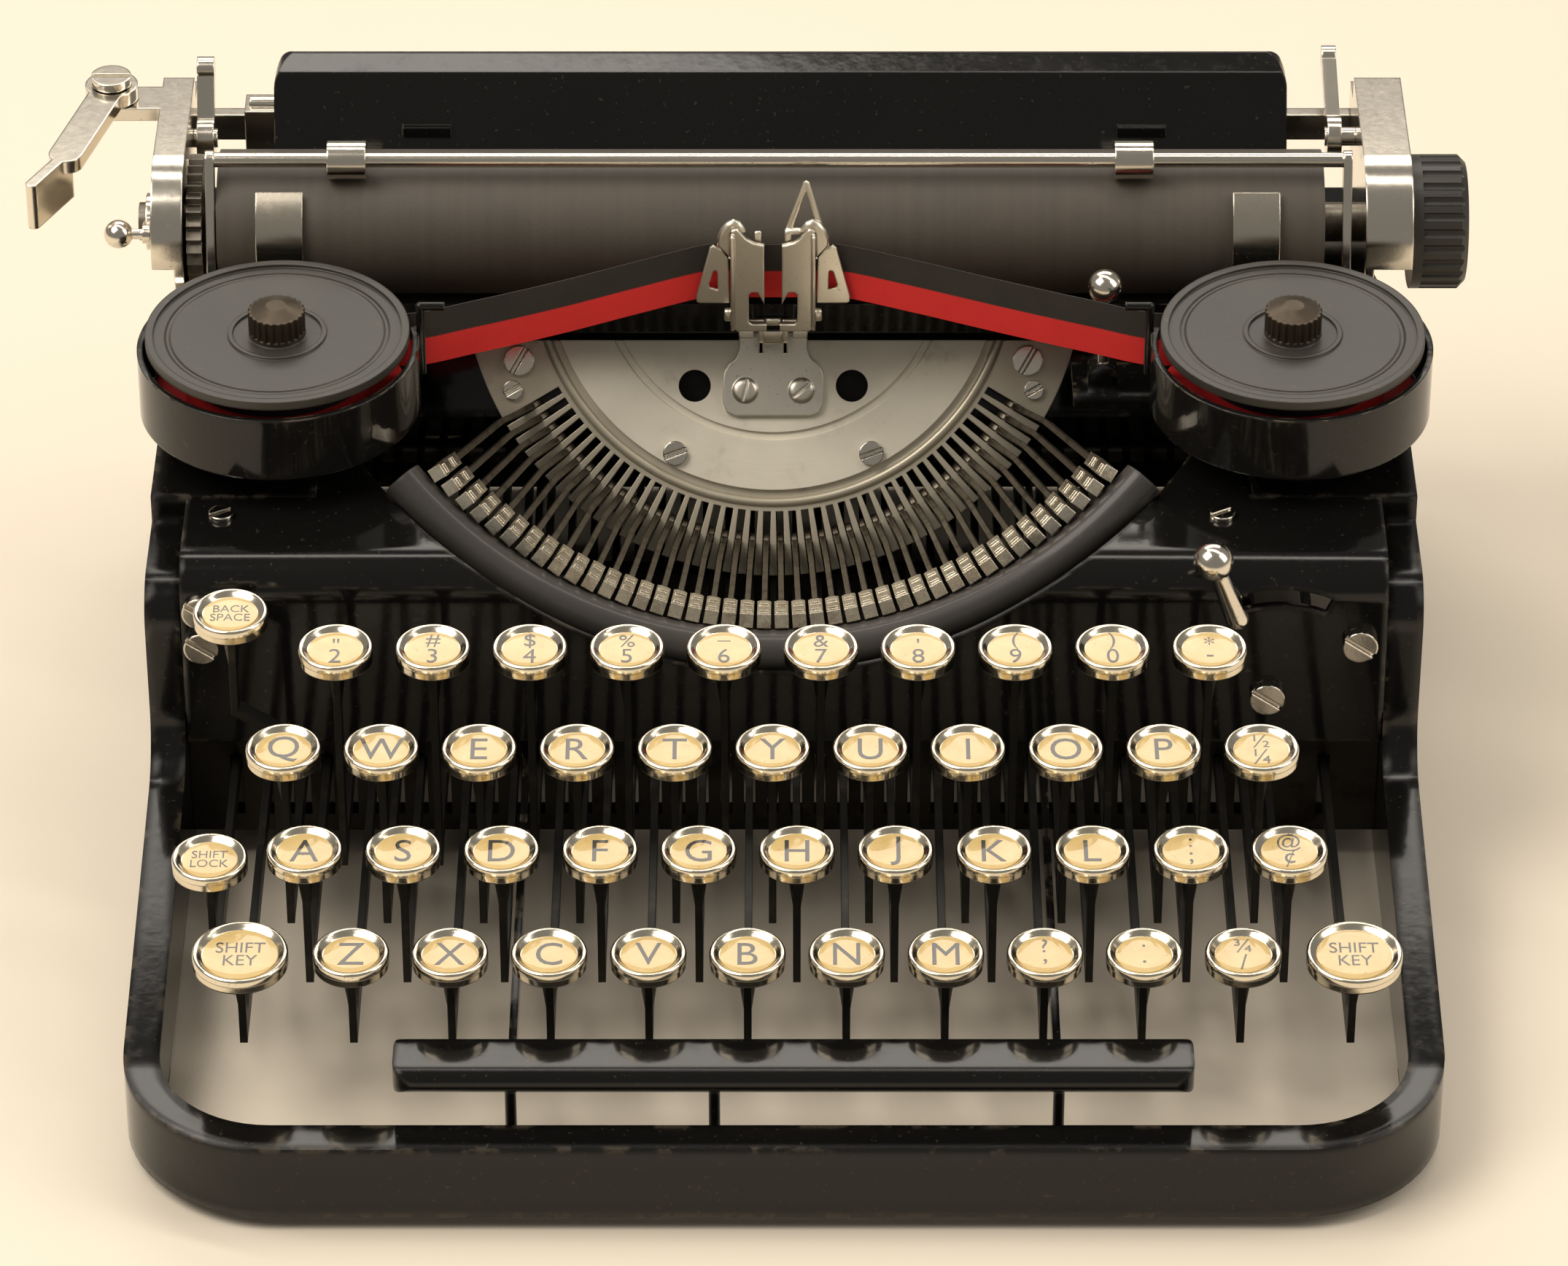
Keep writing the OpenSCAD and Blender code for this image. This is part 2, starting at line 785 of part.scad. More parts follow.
module shift_lock_key() {
    color(card_cream) on_table() {
        key_lever(extra_levers[0], row_at_y(2), row_at_z(2) - 2);
        key_top(extra_levers[0], row_at_y(2), row_at_z(2) - 2, key_d);
    }
}

// The backspace stem is cranked outwards from its lever
back_x = -108.6;
back_y = 95;
back_z = 75;
module backspace_key() {
    lever = extra_levers[2];
    knee_z = 47;
    shelf = 52;
    color(card_cream) on_table() {
        difference() {
            side_plate(lever - lever_t / 2, lever + lever_t / 2) {
                translate([fulcrum_y, fulcrum_z]) circle(r = hub_r);
                translate([back_y - 2, lever_z]) square([fulcrum_y - back_y + 2, lever_h]);
                translate([back_y - 2, lever_z]) square([4, knee_z - lever_z]);
            }
            rod_x(lever - lever_t, lever + lever_t, fulcrum_y, fulcrum_z, lever_shaft_d + 2 * run_gap);
        }
        front_plate(back_y - 2, back_y + 2) {
            link_2d([lever, knee_z], [back_x, shelf], lever_t);
            link_2d([back_x, shelf], [back_x, back_z - key_ring_h], lever_t);
        }
        translate([back_x, back_y, back_z - key_ring_h - 11]) cylinder(h = 11 + neck_in, d1 = lever_t, d2 = 4.6, $fn = 24);
        key_top(back_x, back_y, back_z, key_d);
    }
}

// Space bar: a rounded bar on two long arms, with three guide pins below
bar_y0 = 9;
bar_y1 = 22;
bar_z1 = 27.5;
bar_depth = 5.5;
space_bar_x = 1.8;
module space_bar() {
    r = bar_depth / 2;
    end_r = 4;
    color(enamel) on_table() {
        translate([space_bar_x - space_bar_w / 2, 0, 0]) intersection() {
            union() {
                rod_x(0, space_bar_w, bar_y0 + r, bar_z1 - r, bar_depth);
                rod_x(0, space_bar_w, bar_y1 - r, bar_z1 - r, bar_depth);
                block([0, bar_y0 + r, bar_z1 - bar_depth], [space_bar_w, bar_y1 - r, bar_z1]);
            }
            linear_extrude(bar_z1 + 1) {
                translate([end_r, bar_y0 - 1]) square([space_bar_w - 2 * end_r, bar_y1 - bar_y0 + 2]);
                translate([0, bar_y0 + end_r]) square([space_bar_w, bar_y1 - bar_y0 - 2 * end_r]);
                for (x = [end_r, space_bar_w - end_r], y = [bar_y0 + end_r, bar_y1 - end_r]) {
                    translate([x, y]) circle(r = end_r);
                }
            }
        }
        for (x = space_arms) {
            difference() {
                side_plate(x - lever_t / 2, x + lever_t / 2) {
                    translate([fulcrum_y, fulcrum_z]) circle(r = hub_r);
                    translate([bar_y0 + r, lever_z]) square([fulcrum_y - bar_y0 - r, lever_h]);
                }
                rod_x(x - lever_t, x + lever_t, fulcrum_y, fulcrum_z, lever_shaft_d + 2 * run_gap);
            }
        }
        for (x = [space_arms[0], -13.3, space_arms[1]]) {
            translate([x, bar_y0 + r, 11]) cylinder(h = bar_z1 - bar_depth - 11 + r, d = 2.2, $fn = 24);
        }
    }
}

// Bell and its hammer, mainspring drum

bell_x = 72;
bell_z = 34;
bell_r = 14;
bell_y0 = 240.5;
module bell() {
    wall = 1.2;
    depth = 7;
    color(nickel) on_table() translate([bell_x, bell_y0, bell_z]) rotate([-90, 0, 0]) difference() {
        rotate_extrude($fn = 64) {
            difference() {
                intersection() {
                    translate([0, depth + wall]) circle(r = bell_r);
                    square([bell_r, depth + wall]);
                }
                intersection() {
                    translate([0, depth + wall + 0.01]) circle(r = bell_r - wall);
                    translate([0, wall]) square([bell_r, depth + wall]);
                }
            }
        }
        translate([0, 0, -1]) cylinder(h = 4, d = stud_d + 2 * run_gap);
    }
}

hammer_x = 98;
hammer_z = 44;
module bell_hammer() {
    y0 = rear_in_y - rear_plate_t - 5;
    head_d = 5;
    head_x = bell_x + bell_r + head_d / 2 + 1;
    color(steel) on_table() {
        difference() {
            front_plate(y0, y0 + 2) {
                translate([hammer_x, hammer_z]) circle(r = 4);
                link_2d([hammer_x, hammer_z], [head_x, bell_z], 2);
                link_2d([hammer_x, hammer_z], [hammer_x + 4, hammer_z + 8], 3);
            }
            rod_y(y0 - 1, y0 + 3, hammer_x, hammer_z, stud_d + 2 * run_gap);
        }
        rod_y(y0 - 1, y0 + 3, head_x, bell_z, head_d);
    }
}

drum_x = -75;
drum_z = 36;
drum_r = 19;
module spring_drum() {
    y1 = rear_in_y - rear_plate_t - slide_gap;
    y0 = y1 - 4.7;
    color(nickel) on_table() difference() {
        rod_y(y0, y1, drum_x, drum_z, 2 * drum_r);
        rod_y(y0 - 1, y0 + 1, drum_x, drum_z, 2 * drum_r - 6);
        rod_y(y0 - 1, y1 + 1, drum_x, drum_z, stud_d + 2 * run_gap);
        for (a = [0 : 60 : 300]) {
            rod_y(y0, y1 + 1, drum_x + 11 * cos(a), drum_z + 11 * sin(a), 4);
        }
    }
}

// Rail that the carriage runs on; the shift lifts it along its two posts

module rail_posts() {
    color(steel) on_table() for (s = [-1, 1]) {
        translate([s * post_x, rail_y, bridge_z1]) cylinder(h = post_top - bridge_z1, d = post_d);
    }
}

module carriage_rail() {
    foot_z1 = rail_foot_z + rail_foot_h;
    color(steel) on_table() {
        difference() {
            union() {
                block([-rail_half, rail_y - rail_foot_w / 2, rail_foot_z], [rail_half, rail_y + rail_foot_w / 2, foot_z1]);
                block([-rail_half, rail_y - rail_web_t / 2, foot_z1 - eps],
                    [rail_half, rail_y + rail_web_t / 2, rail_head_z0 + eps]);
                block([-rail_half, rail_y - rail_head_w / 2, rail_head_z0],
                    [rail_half, rail_y + rail_head_w / 2, rail_head_z0 + rail_head_h]);
            }
            for (s = [-1, 1]) {
                translate([s * post_x, rail_y, rail_foot_z - 1])
                    cylinder(h = post_top - rail_foot_z + 2, d = post_d + 2 * run_gap);
            }
        }
        rod_y(rail_y + rail_foot_w / 2 - eps, rack_y + rack_t, 0, wheel_z, stud_d);
    }
}

// Carriage frame: the beam over the rail and the scale bar in front of the platen
scale_y = 199;
scale_t = 1.5;
scale_z0 = 73.5;
scale_z1 = 80.5;

// The room that the rail takes in the beam and the end plates
module rail_channel(x0, x1) {
    head_w = rail_head_w / 2 + slide_gap;
    web_w = rail_web_t / 2 + slide_gap;
    block([x0, rail_y - head_w, rail_head_z0 - slide_gap], [x1, rail_y + head_w, rail_head_z0 + rail_head_h + slide_gap]);
    block([x0, rail_y - web_w, beam_z0 - 1], [x1, rail_y + web_w, rail_head_z0]);
}

module carriage_frame() {
    x0 = plate_left_x + plate_t;
    x1 = plate_right_x;
    color(enamel) on_table() {
        difference() {
            block([x0, beam_y0, beam_z0], [x1, beam_y1, beam_z1]);
            rail_channel(x0 - 1, x1 + 1);
        }
        block([x0, scale_y, scale_z0], [x1, scale_y + scale_t, scale_z1]);
    }
}

// Rack under the rear of the carriage, and the wheel that steps along it
pitch = PI * rack_module;
tooth_tip = 0.8 * rack_module;
tooth_root = rack_module;
module rack_tooth() {
    polygon([[-0.22 * pitch, tooth_root + eps], [-0.1 * pitch, -tooth_tip], [0.1 * pitch, -tooth_tip],
        [0.22 * pitch, tooth_root + eps]]);
}

module carriage_rack() {
    pitch_z = wheel_z + pinion_r;
    teeth = floor(rack_half / pitch);
    color(steel) on_table() {
        front_plate(rack_y, rack_y + rack_t) {
            translate([-rack_half, pitch_z + tooth_root]) square([2 * rack_half, rack_top - pitch_z - tooth_root]);
            for (k = [-teeth : teeth - 1]) {
                translate([(k + 0.5) * pitch, pitch_z]) rack_tooth();
            }
        }
        for (x = [-rack_half, -4, rack_half - 8]) {
            block([x, beam_y1, rack_top - 4], [x + 8, rack_y + eps, rack_top]);
        }
    }
}

module escapement_wheel() {
    star = 24;
    color(nickel) on_table() difference() {
        union() {
            front_plate(wheel_y, wheel_y + wheel_t) translate([0, wheel_z]) {
                polygon([for (k = [0 : star - 1]) each [
                    (wheel_r - 2.5) * [cos(360 * k / star), sin(360 * k / star)],
                    wheel_r * [cos(360 * (k + 0.7) / star), sin(360 * (k + 0.7) / star)]]]);
            }
            front_plate(wheel_y + wheel_t - eps, rack_y + rack_t) translate([0, wheel_z]) {
                circle(r = pinion_r - tooth_root);
                for (k = [0 : pinion_teeth - 1]) {
                    rotate(360 * k / pinion_teeth) translate([pinion_r, 0]) rotate(90) rack_tooth();
                }
            }
        }
        rod_y(wheel_y - 1, rack_y + rack_t + 1, 0, wheel_z, stud_d + 2 * run_gap);
    }
}

// End plates with their wrapped nickel caps

bail_y = 196;
bail_z = 75;
bail_pin_d = 3;
bail_boss_d = 6.4;
margin_y = 246;
margin_z = 95;
margin_w = 3;
margin_h = 6;
feed_front = [-100, -50];
feed_shaft_d = 4;
function feed_at(k) = [platen_y, platen_z]
    + (platen_d / 2 + feed_d / 2 + slide_gap) * [cos(feed_front[k]), sin(feed_front[k])];

module end_outline() {
    translate([platen_y, platen_z]) circle(r = cap_r);
    translate([platen_y, 84]) square([beam_y1 - platen_y, platen_z + cap_r - 84]);
    polygon([[scale_y - 0.6, 68], [scale_y - 0.6, 78], [204, 84], [platen_y + 4, 90], [beam_y1, 90], [beam_y1, 68]]);
    translate([beam_y1 - 1, margin_z - 3]) square([margin_y + margin_w + 2 - beam_y1, margin_h + 6]);
    link_2d([bail_y, bail_z], [scale_y + 3, bail_z], bail_boss_d);
}

// The cap follows the outline's nose and top as a band
module cap_band() {
    difference() {
        union() {
            translate([platen_y, platen_z]) circle(r = cap_r);
            translate([platen_y, platen_z]) square([beam_y1 - platen_y, cap_r]);
        }
        translate([platen_y, platen_z]) circle(r = cap_r - cap_t);
        translate([platen_y, platen_z - cap_r]) square([beam_y1, 2 * cap_r - cap_t]);
        translate([platen_y - 2 * cap_r, platen_z - 2 * cap_r]) square([4 * cap_r, 2 * cap_r - 2]);
    }
}

module end_bores(x0, x1) {
    rail_channel(x0, x1);
    rod_x(x0, x1, platen_y, platen_z, platen_shaft_d + 2 * run_gap);
    for (k = [0, 1]) {
        rod_x(x0, x1, feed_at(k)[0], feed_at(k)[1], feed_shaft_d + 2 * run_gap);
    }
}

// Bracket and pivot screw of the line-space lever
lever_pin_x = -140.7;
lever_pin_y = 234.8;
lever_pin_d = 4;
bracket_z0 = 106;
bracket_w = 9;
bracket_z1 = platen_z + cap_r;
return_t = 3;

module end_plate_left() {
    color(nickel) on_table() difference() {
        union() {
            side_plate(plate_left_x, plate_left_x + plate_t) end_outline();
            side_plate(cap_left_x, plate_left_x + eps) cap_band();
            rod_x(plate_left_x - 3.6, plate_left_x + eps, bail_y, bail_z, bail_pin_d);
            rod_x(plate_left_x + plate_t - eps, plate_left_x + plate_t + 5, free_y, free_z, stud_d);
            translate([0, 0, bracket_z0]) linear_extrude(bracket_z1 - bracket_z0) {
                link_2d([lever_pin_x, lever_pin_y], [plate_left_x + plate_t - bracket_w / 2, lever_pin_y], bracket_w);
            }
            translate([lever_pin_x, lever_pin_y, bracket_z1 - eps]) {
                cylinder(h = return_t + 2 * slide_gap + 0.1, d = lever_pin_d);
                translate([0, 0, return_t + 2 * slide_gap]) slotted_screw(8.4, 1.8);
            }
        }
        end_bores(cap_left_x - 1, plate_left_x + plate_t + 1);
    }
}

module end_plate_right() {
    x1 = plate_right_x + plate_t;
    color(nickel) on_table() difference() {
        union() {
            side_plate(plate_right_x, x1) end_outline();
            side_plate(x1 - eps, cap_right_x) cap_band();
            rod_x(x1 - eps, x1 + 3.6, bail_y, bail_z, bail_pin_d);
            rod_x(plate_right_x - 6.4, plate_right_x + eps, release_y, release_z, stud_d);
        }
        end_bores(plate_right_x - 1, cap_right_x + 1);
    }
}

// Platen and what turns with it

platen_x1 = platen_x0 + platen_len;
module platen() {
    color(rubber_grey) on_table() difference() {
        rod_x(platen_x0, platen_x1, platen_y, platen_z, platen_d, $fn = 96);
        rod_x(platen_x0 - 1, platen_x1 + 1, platen_y, platen_z, platen_shaft_d + 2 * run_gap);
    }
}

shaft_x0 = -134;
knob_x0 = cap_right_x + slide_gap;
module platen_shaft() {
    color(steel) on_table() rod_x(shaft_x0, knob_x0 + knob_w - 3, platen_y, platen_z, platen_shaft_d);
}

module platen_knob() {
    ribs = 26;
    rib_r = 1.1;
    color(enamel) on_table() translate([knob_x0, platen_y, platen_z]) rotate([0, 90, 0]) difference() {
        union() {
            cylinder(h = knob_w - 1.5, d = knob_d);
            translate([0, 0, knob_w - 1.5 - eps]) cylinder(h = 1.5, d1 = knob_d, d2 = knob_d - 3);
        }
        for (k = [0 : ribs - 1]) {
            rotate([0, 0, 360 * k / ribs]) translate([knob_d / 2 + 0.4, 0, 2]) cylinder(h = knob_w, r = rib_r, $fn = 16);
        }
        translate([0, 0, knob_w - 1]) cylinder(h = 2, d = knob_d - 9);
        translate([0, 0, -1]) cylinder(h = knob_w - 2 + run_gap, d = platen_shaft_d + 2 * run_gap);
    }
}

ratchet_x0 = -123.4;
ratchet_x1 = -120.2;
module ratchet_wheel() {
    teeth = 30;
    r = 14;
    color(steel) on_table() difference() {
        side_plate(ratchet_x0, ratchet_x1) translate([platen_y, platen_z]) {
            polygon([for (k = [0 : teeth - 1]) each [
                (r - 1.6) * [cos(360 * k / teeth), sin(360 * k / teeth)],
                r * [cos(360 * (k + 0.75) / teeth), sin(360 * (k + 0.75) / teeth)]]]);
        }
        rod_x(ratchet_x0 - 1, ratchet_x1 + 1, platen_y, platen_z, platen_shaft_d + 2 * run_gap);
    }
}

module feed_roller(k) {
    p = feed_at(k);
    color(rubber_grey) on_table() {
        rod_x(plate_left_x + 0.3, plate_right_x + plate_t - 0.3, p[0], p[1], feed_shaft_d);
        for (x = [-108, -40, 28]) {
            rod_x(x, x + 72 - 4, p[0], p[1], feed_d);
        }
    }
}

module feed_roller_front() {
    feed_roller(0);
}

module feed_roller_rear() {
    feed_roller(1);
}

// Paper table, paper fingers, paper bail

table_y0 = 229.5;
table_z0 = 94;
table_y1 = 240;
table_z1 = 111.5;
table_mid = -0.75;
module paper_table() {
    sheet = 1.8;
    tab_w = 10;
    r = 5;
    color(enamel) on_table() {
        intersection() {
            side_plate(table_mid - table_len / 2, table_mid + table_len / 2) {
                link_2d([table_y0, table_z0], [table_y1, table_z1], sheet);
                link_2d([table_y1, table_z1], [table_y1 + 4.5, table_z1 + 2], sheet);
            }
            front_plate(220, 260) {
                w = table_len - 2 * r;
                top = table_z1 + 3;
                translate([table_mid - w / 2, 90]) square([w, top - 90]);
                translate([table_mid - table_len / 2, 90]) square([table_len, top - 90 - r]);
                for (s = [-1, 1]) {
                    translate([table_mid + s * w / 2, top - r]) circle(r = r);
                }
            }
        }
        for (x = [-80, 70]) {
            block([x, 232.4, beam_z1], [x + tab_w, 234.4, 103]);
        }
    }
}

finger_w = 9.7;
finger_t = 1;
finger_low = 81;
finger_xs = [-104, 97.3];
module paper_fingers() {
    r = platen_d / 2 + 0.5;
    color(nickel) on_table() for (x = finger_xs) {
        side_plate(x - finger_w / 2, x + finger_w / 2) {
            difference() {
                translate([platen_y, platen_z]) circle(r = r + finger_t);
                translate([platen_y, platen_z]) circle(r = r);
                translate([platen_y - 9.9, 0]) square([100, 200]);
            }
            translate([scale_y + scale_t, scale_z0 + 2]) square([finger_t, finger_low - scale_z0 - 2]);
        }
    }
}

rod_y0 = 205.7;
rod_z0 = 111.4;
bail_rod_x0 = -119.2;
bail_rod_x1 = 117;
arm_t = 1.8;
bail_jog_z = 81.2;
module bail_arm(inner, outer) {
    jog_y = 193.8;
    side_plate(inner - arm_t / 2, inner + arm_t / 2) link_2d([rod_y0, rod_z0], [jog_y + 0.6, bail_jog_z], 4);
    front_plate(jog_y - 1.2, jog_y + 1.2) link_2d([inner, bail_jog_z], [outer, bail_jog_z - 1], 3.4);
    difference() {
        side_plate(outer - arm_t / 2, outer + arm_t / 2) {
            link_2d([jog_y + 0.4, bail_jog_z - 1], [bail_y, bail_z], 4);
            translate([bail_y, bail_z]) circle(r = 3.6);
        }
        rod_x(outer - 3, outer + 3, bail_y, bail_z, bail_pin_d + 2 * run_gap);
    }
}

module paper_bail() {
    left = bail_rod_x0 + arm_t / 2;
    right = bail_rod_x1 - arm_t / 2;
    color(nickel) on_table() {
        rod_x(bail_rod_x0, bail_rod_x1, rod_y0, rod_z0, bail_rod_d);
        bail_arm(left, plate_left_x - slide_gap - arm_t / 2 - 1);
        bail_arm(right, plate_right_x + plate_t + slide_gap + arm_t / 2 + 1);
    }
}

bail_roller_xs = [-90, 72];
module bail_rollers() {
    color(nickel) on_table() for (x = bail_roller_xs) {
        difference() {
            rod_x(x - bail_roller_w / 2, x + bail_roller_w / 2, rod_y0, rod_z0, bail_roller_d);
            rod_x(x - bail_roller_w, x + bail_roller_w, rod_y0, rod_z0, bail_rod_d + 2 * run_gap);
        }
    }
}

// Levers and stops on the carriage

margin_z0 = margin_z - margin_h / 2;
module margin_rail() {
    color(nickel) on_table() {
        block([plate_left_x + plate_t, margin_y, margin_z0], [plate_right_x, margin_y + margin_w, margin_z0 + margin_h]);
    }
}

stop_w = 8;
stop_wall = 1.8;
module margin_stop(x) {
    side = stop_wall + slide_gap;
    color(nickel) on_table() difference() {
        union() {
            block([x, margin_y - side, margin_z0 - side], [x + stop_w, margin_y + margin_w + side, margin_z0 + margin_h + side]);
            rod_x(x + 1, x + stop_w - 1, margin_y + margin_w / 2, margin_z0 + margin_h + side, margin_w);
        }
        block([x - 1, margin_y - slide_gap, margin_z0 - slide_gap],
            [x + stop_w + 1, margin_y + margin_w + slide_gap, margin_z0 + margin_h + slide_gap]);
    }
}

module margin_stop_left() {
    margin_stop(-114);
}

module margin_stop_right() {
    margin_stop(60);
}

module line_space_lever() {
    z0 = bracket_z1 + slide_gap;
    knee = [-148, 207];
    tip = [-154, 195];
    handle_t = 2.5;
    handle_z = 102;
    color(nickel) on_table() {
        difference() {
            translate([0, 0, z0]) linear_extrude(return_t) {
                translate([lever_pin_x, lever_pin_y]) circle(r = 5.5);
                link_2d([lever_pin_x, lever_pin_y], knee, 7);
            }
            translate([lever_pin_x, lever_pin_y, z0 - 1]) cylinder(h = return_t + 2, d = lever_pin_d + 2 * run_gap);
        }
        translate([0, 0, handle_z]) linear_extrude(z0 + return_t - handle_z) link_2d(knee, tip, handle_t);
    }
}

release_y = 234;
release_z = 100;
module paper_release_lever() {
    x1 = plate_right_x - 3;
    x0 = x1 - 3;
    pad = [256, 106.5];
    color(nickel) on_table() difference() {
        side_plate(x0, x1) {
            translate([release_y, release_z]) circle(r = 4.5);
            link_2d([release_y, release_z], pad, 3);
            translate(pad) circle(r = 2.4);
        }
        rod_x(x0 - 1, x1 + 1, release_y, release_z, stud_d + 2 * run_gap);
    }
}

free_y = 235;
free_z = 99;
module carriage_release_lever() {
    x0 = plate_left_x + plate_t + 0.8;
    x1 = x0 + 3.6;
    thumb = [242, 112];
    color(nickel) on_table() difference() {
        side_plate(x0, x1) {
            translate([free_y, free_z]) circle(r = 4.5);
            link_2d([free_y, free_z], thumb, 3.4);
            translate(thumb) circle(r = 2.4);
        }
        rod_x(x0 - 1, x1 + 1, free_y, free_z, stud_d + 2 * run_gap);
    }
}

module line_space_selector() {
    x1 = cap_left_x - slide_gap;
    x0 = x1 - 1.6;
    ball = [200, 97];
    color(nickel) on_table() {
        difference() {
            side_plate(x0, x1) {
                translate([platen_y, platen_z]) circle(r = 6);
                link_2d([platen_y, platen_z], ball, 4);
            }
            rod_x(x0 - 1, x1 + 1, platen_y, platen_z, platen_shaft_d + 2 * run_gap);
        }
        rod_x(x0 - 4, x0 + eps, ball[0], ball[1], 2.2);
        translate([x0 - 5, ball[0], ball[1]]) rotate([0, 90, 0]) sphere(d = 6, $fn = 32);
    }
}

// Type guide in front of the printing point: two legs with a gap for the type bar

guide_legs = [[-8.8, -1.9], [1.9, 8.8]];
guide_top = 84;
module type_guide() {
    guide_t = 1.6;
    foot_w = 17.6;
    foot_r = 3;
    front_y = vibrator_y - slide_gap;
    bend = [208.4, 65];
    knee = [197.5, 69.4];
    rise = [front_y - guide_t / 2, 70.4];
    color(nickel) on_table() {
        for (leg = guide_legs) {
            side_plate(basket_x + leg[0], basket_x + leg[1]) {
                link_2d(bend, knee, guide_t);
                link_2d(knee, rise, guide_t);
                translate([front_y - guide_t, rise[1]]) square([guide_t, guide_top - rise[1]]);
            }
        }
        segment_frame() difference() {
            translate([0, 0, segment_front + plate_z]) linear_extrude(guide_t) {
                translate([-foot_w / 2, -30 + foot_r]) square([foot_w, 30 - foot_r - segment_cut]);
                translate([-foot_w / 2 + foot_r, -30]) square([foot_w - 2 * foot_r, foot_r + 1]);
                for (s = [-1, 1]) {
                    translate([s * (foot_w / 2 - foot_r), -30 + foot_r]) circle(r = foot_r);
                }
            }
            translate([0, -segment_cut, 0]) cylinder(h = 10, d = 5.5);
        }
        segment_frame() for (x = [-6, 6]) {
            translate([x, -26, segment_front + plate_z + guide_t - eps]) slotted_screw(4.4, 1.2);
        }
    }
}

// Ribbon cups, spools, ribbon and its levers

module spool_cup(side) {
    cup_x = cup_xs[side];
    s = side == 0 ? 1 : -1;
    in_r = cup_d / 2 - cup_t;
    post_r = 6;
    exit = [s * (abs(cup_x) - ribbon_cup_in), ribbon_cup_y - cup_y];
    wire_x = s * 28.7;
    wire_y = 5;
    color(enamel) on_table() translate([cup_x, cup_y, 0]) {
        difference() {
            translate([0, 0, cup_z]) cylinder(h = cup_h, d = cup_d);
            translate([0, 0, cup_z + cup_t]) cylinder(h = cup_h, r = in_r);
            translate([0, 0, cup_z + cup_t + 0.5]) rotate([0, 0, atan2(exit[1], exit[0])])
                block([in_r - 4, -3.5, 0], [in_r + 6, 3.5, cup_h]);
        }
        translate([0, 0, shelf_z]) cylinder(h = cup_z - shelf_z + eps, r = post_r);
        translate([0, 0, cup_z + cup_t - eps]) cylinder(h = spindle_h, d = spindle_d);
        translate([wire_x, wire_y, cup_z + 4]) cylinder(h = 16, d = 1.8, $fn = 24);
        translate([wire_x, wire_y, cup_z + 20]) sphere(d = 1.8, $fn = 24);
        translate([wire_x, wire_y, cup_z + 20]) rotate([0, s * 90, 0]) cylinder(h = 5, d = 1.8, $fn = 24);
    }
}

spindle_h = 11;
module spool_cup_left() {
    spool_cup(0);
}

module spool_cup_right() {
    spool_cup(1);
}

module spool(side) {
    low_z = cup_z + cup_t + slide_gap;
    low_t = 0.6;
    nut_d = 11.5;
    nut_h = 5.6;
    hub_ring_d = 20;
    ribs = 24;
    color(nickel) on_table() translate([cup_xs[side], cup_y, 0]) difference() {
        union() {
            translate([0, 0, low_z]) cylinder(h = low_t, d = spool_d - 1.5);
            translate([0, 0, low_z]) cylinder(h = lid_z - low_z, d = core_d);
            translate([0, 0, low_z + low_t - eps]) cylinder(h = lid_z - low_z - low_t + 2 * eps, d = wound_d);
            translate([0, 0, lid_z]) cylinder(h = lid_t, d = spool_d);
            translate([0, 0, lid_z + lid_t - eps]) difference() {
                cylinder(h = 0.7, d = spool_d);
                translate([0, 0, -1]) cylinder(h = 3, d = spool_d - 3.2);
            }
            translate([0, 0, lid_z + lid_t - eps]) difference() {
                cylinder(h = 0.5, d = hub_ring_d);
                translate([0, 0, -1]) cylinder(h = 3, d = hub_ring_d - 2);
            }
            translate([0, 0, lid_z + lid_t - eps]) difference() {
                cylinder(h = nut_h, d = nut_d);
                for (k = [0 : ribs - 1]) {
                    rotate([0, 0, 360 * k / ribs]) translate([nut_d / 2 + 0.15, 0, 1]) cylinder(h = nut_h, r = 0.5, $fn = 16);
                }
            }
            translate([0, 0, lid_z + lid_t + nut_h - 2 * eps]) cylinder(h = 1.2, d1 = nut_d - 1, d2 = 4);
        }
        translate([0, 0, low_z - 1]) cylinder(h = spindle_h + 1.5, d = spindle_d + 2 * run_gap);
    }
}

module spool_left() {
    spool(0);
}

module spool_right() {
    spool(1);
}

// One stretch of ribbon between two upright edges
module ribbon_run(p, q) {
    hull() for (e = [p, q]) {
        translate([e[0], e[1], e[2]]) cube([ribbon_t, ribbon_t, ribbon_h], center = true);
    }
}

module ribbon() {
    leave = 66;
    pack_r = wound_d / 2 + 0.7;
    left = [cup_xs[0] + pack_r * cos(leave), cup_y + pack_r * sin(leave), ribbon_cup_z];
    right = [cup_xs[1] - pack_r * cos(leave), cup_y + pack_r * sin(leave), ribbon_cup_z];
    path = [left, [-ribbon_cup_in, ribbon_cup_y, ribbon_cup_z], [loop_x0, ribbon_y, ribbon_mid_z],
        [loop_x1, ribbon_y, ribbon_mid_z], [ribbon_cup_in, ribbon_cup_y, ribbon_cup_z], right];
    color(cloth_black) on_table() for (k = [0 : len(path) - 2]) {
        ribbon_run(path[k], path[k + 1]);
    }
}

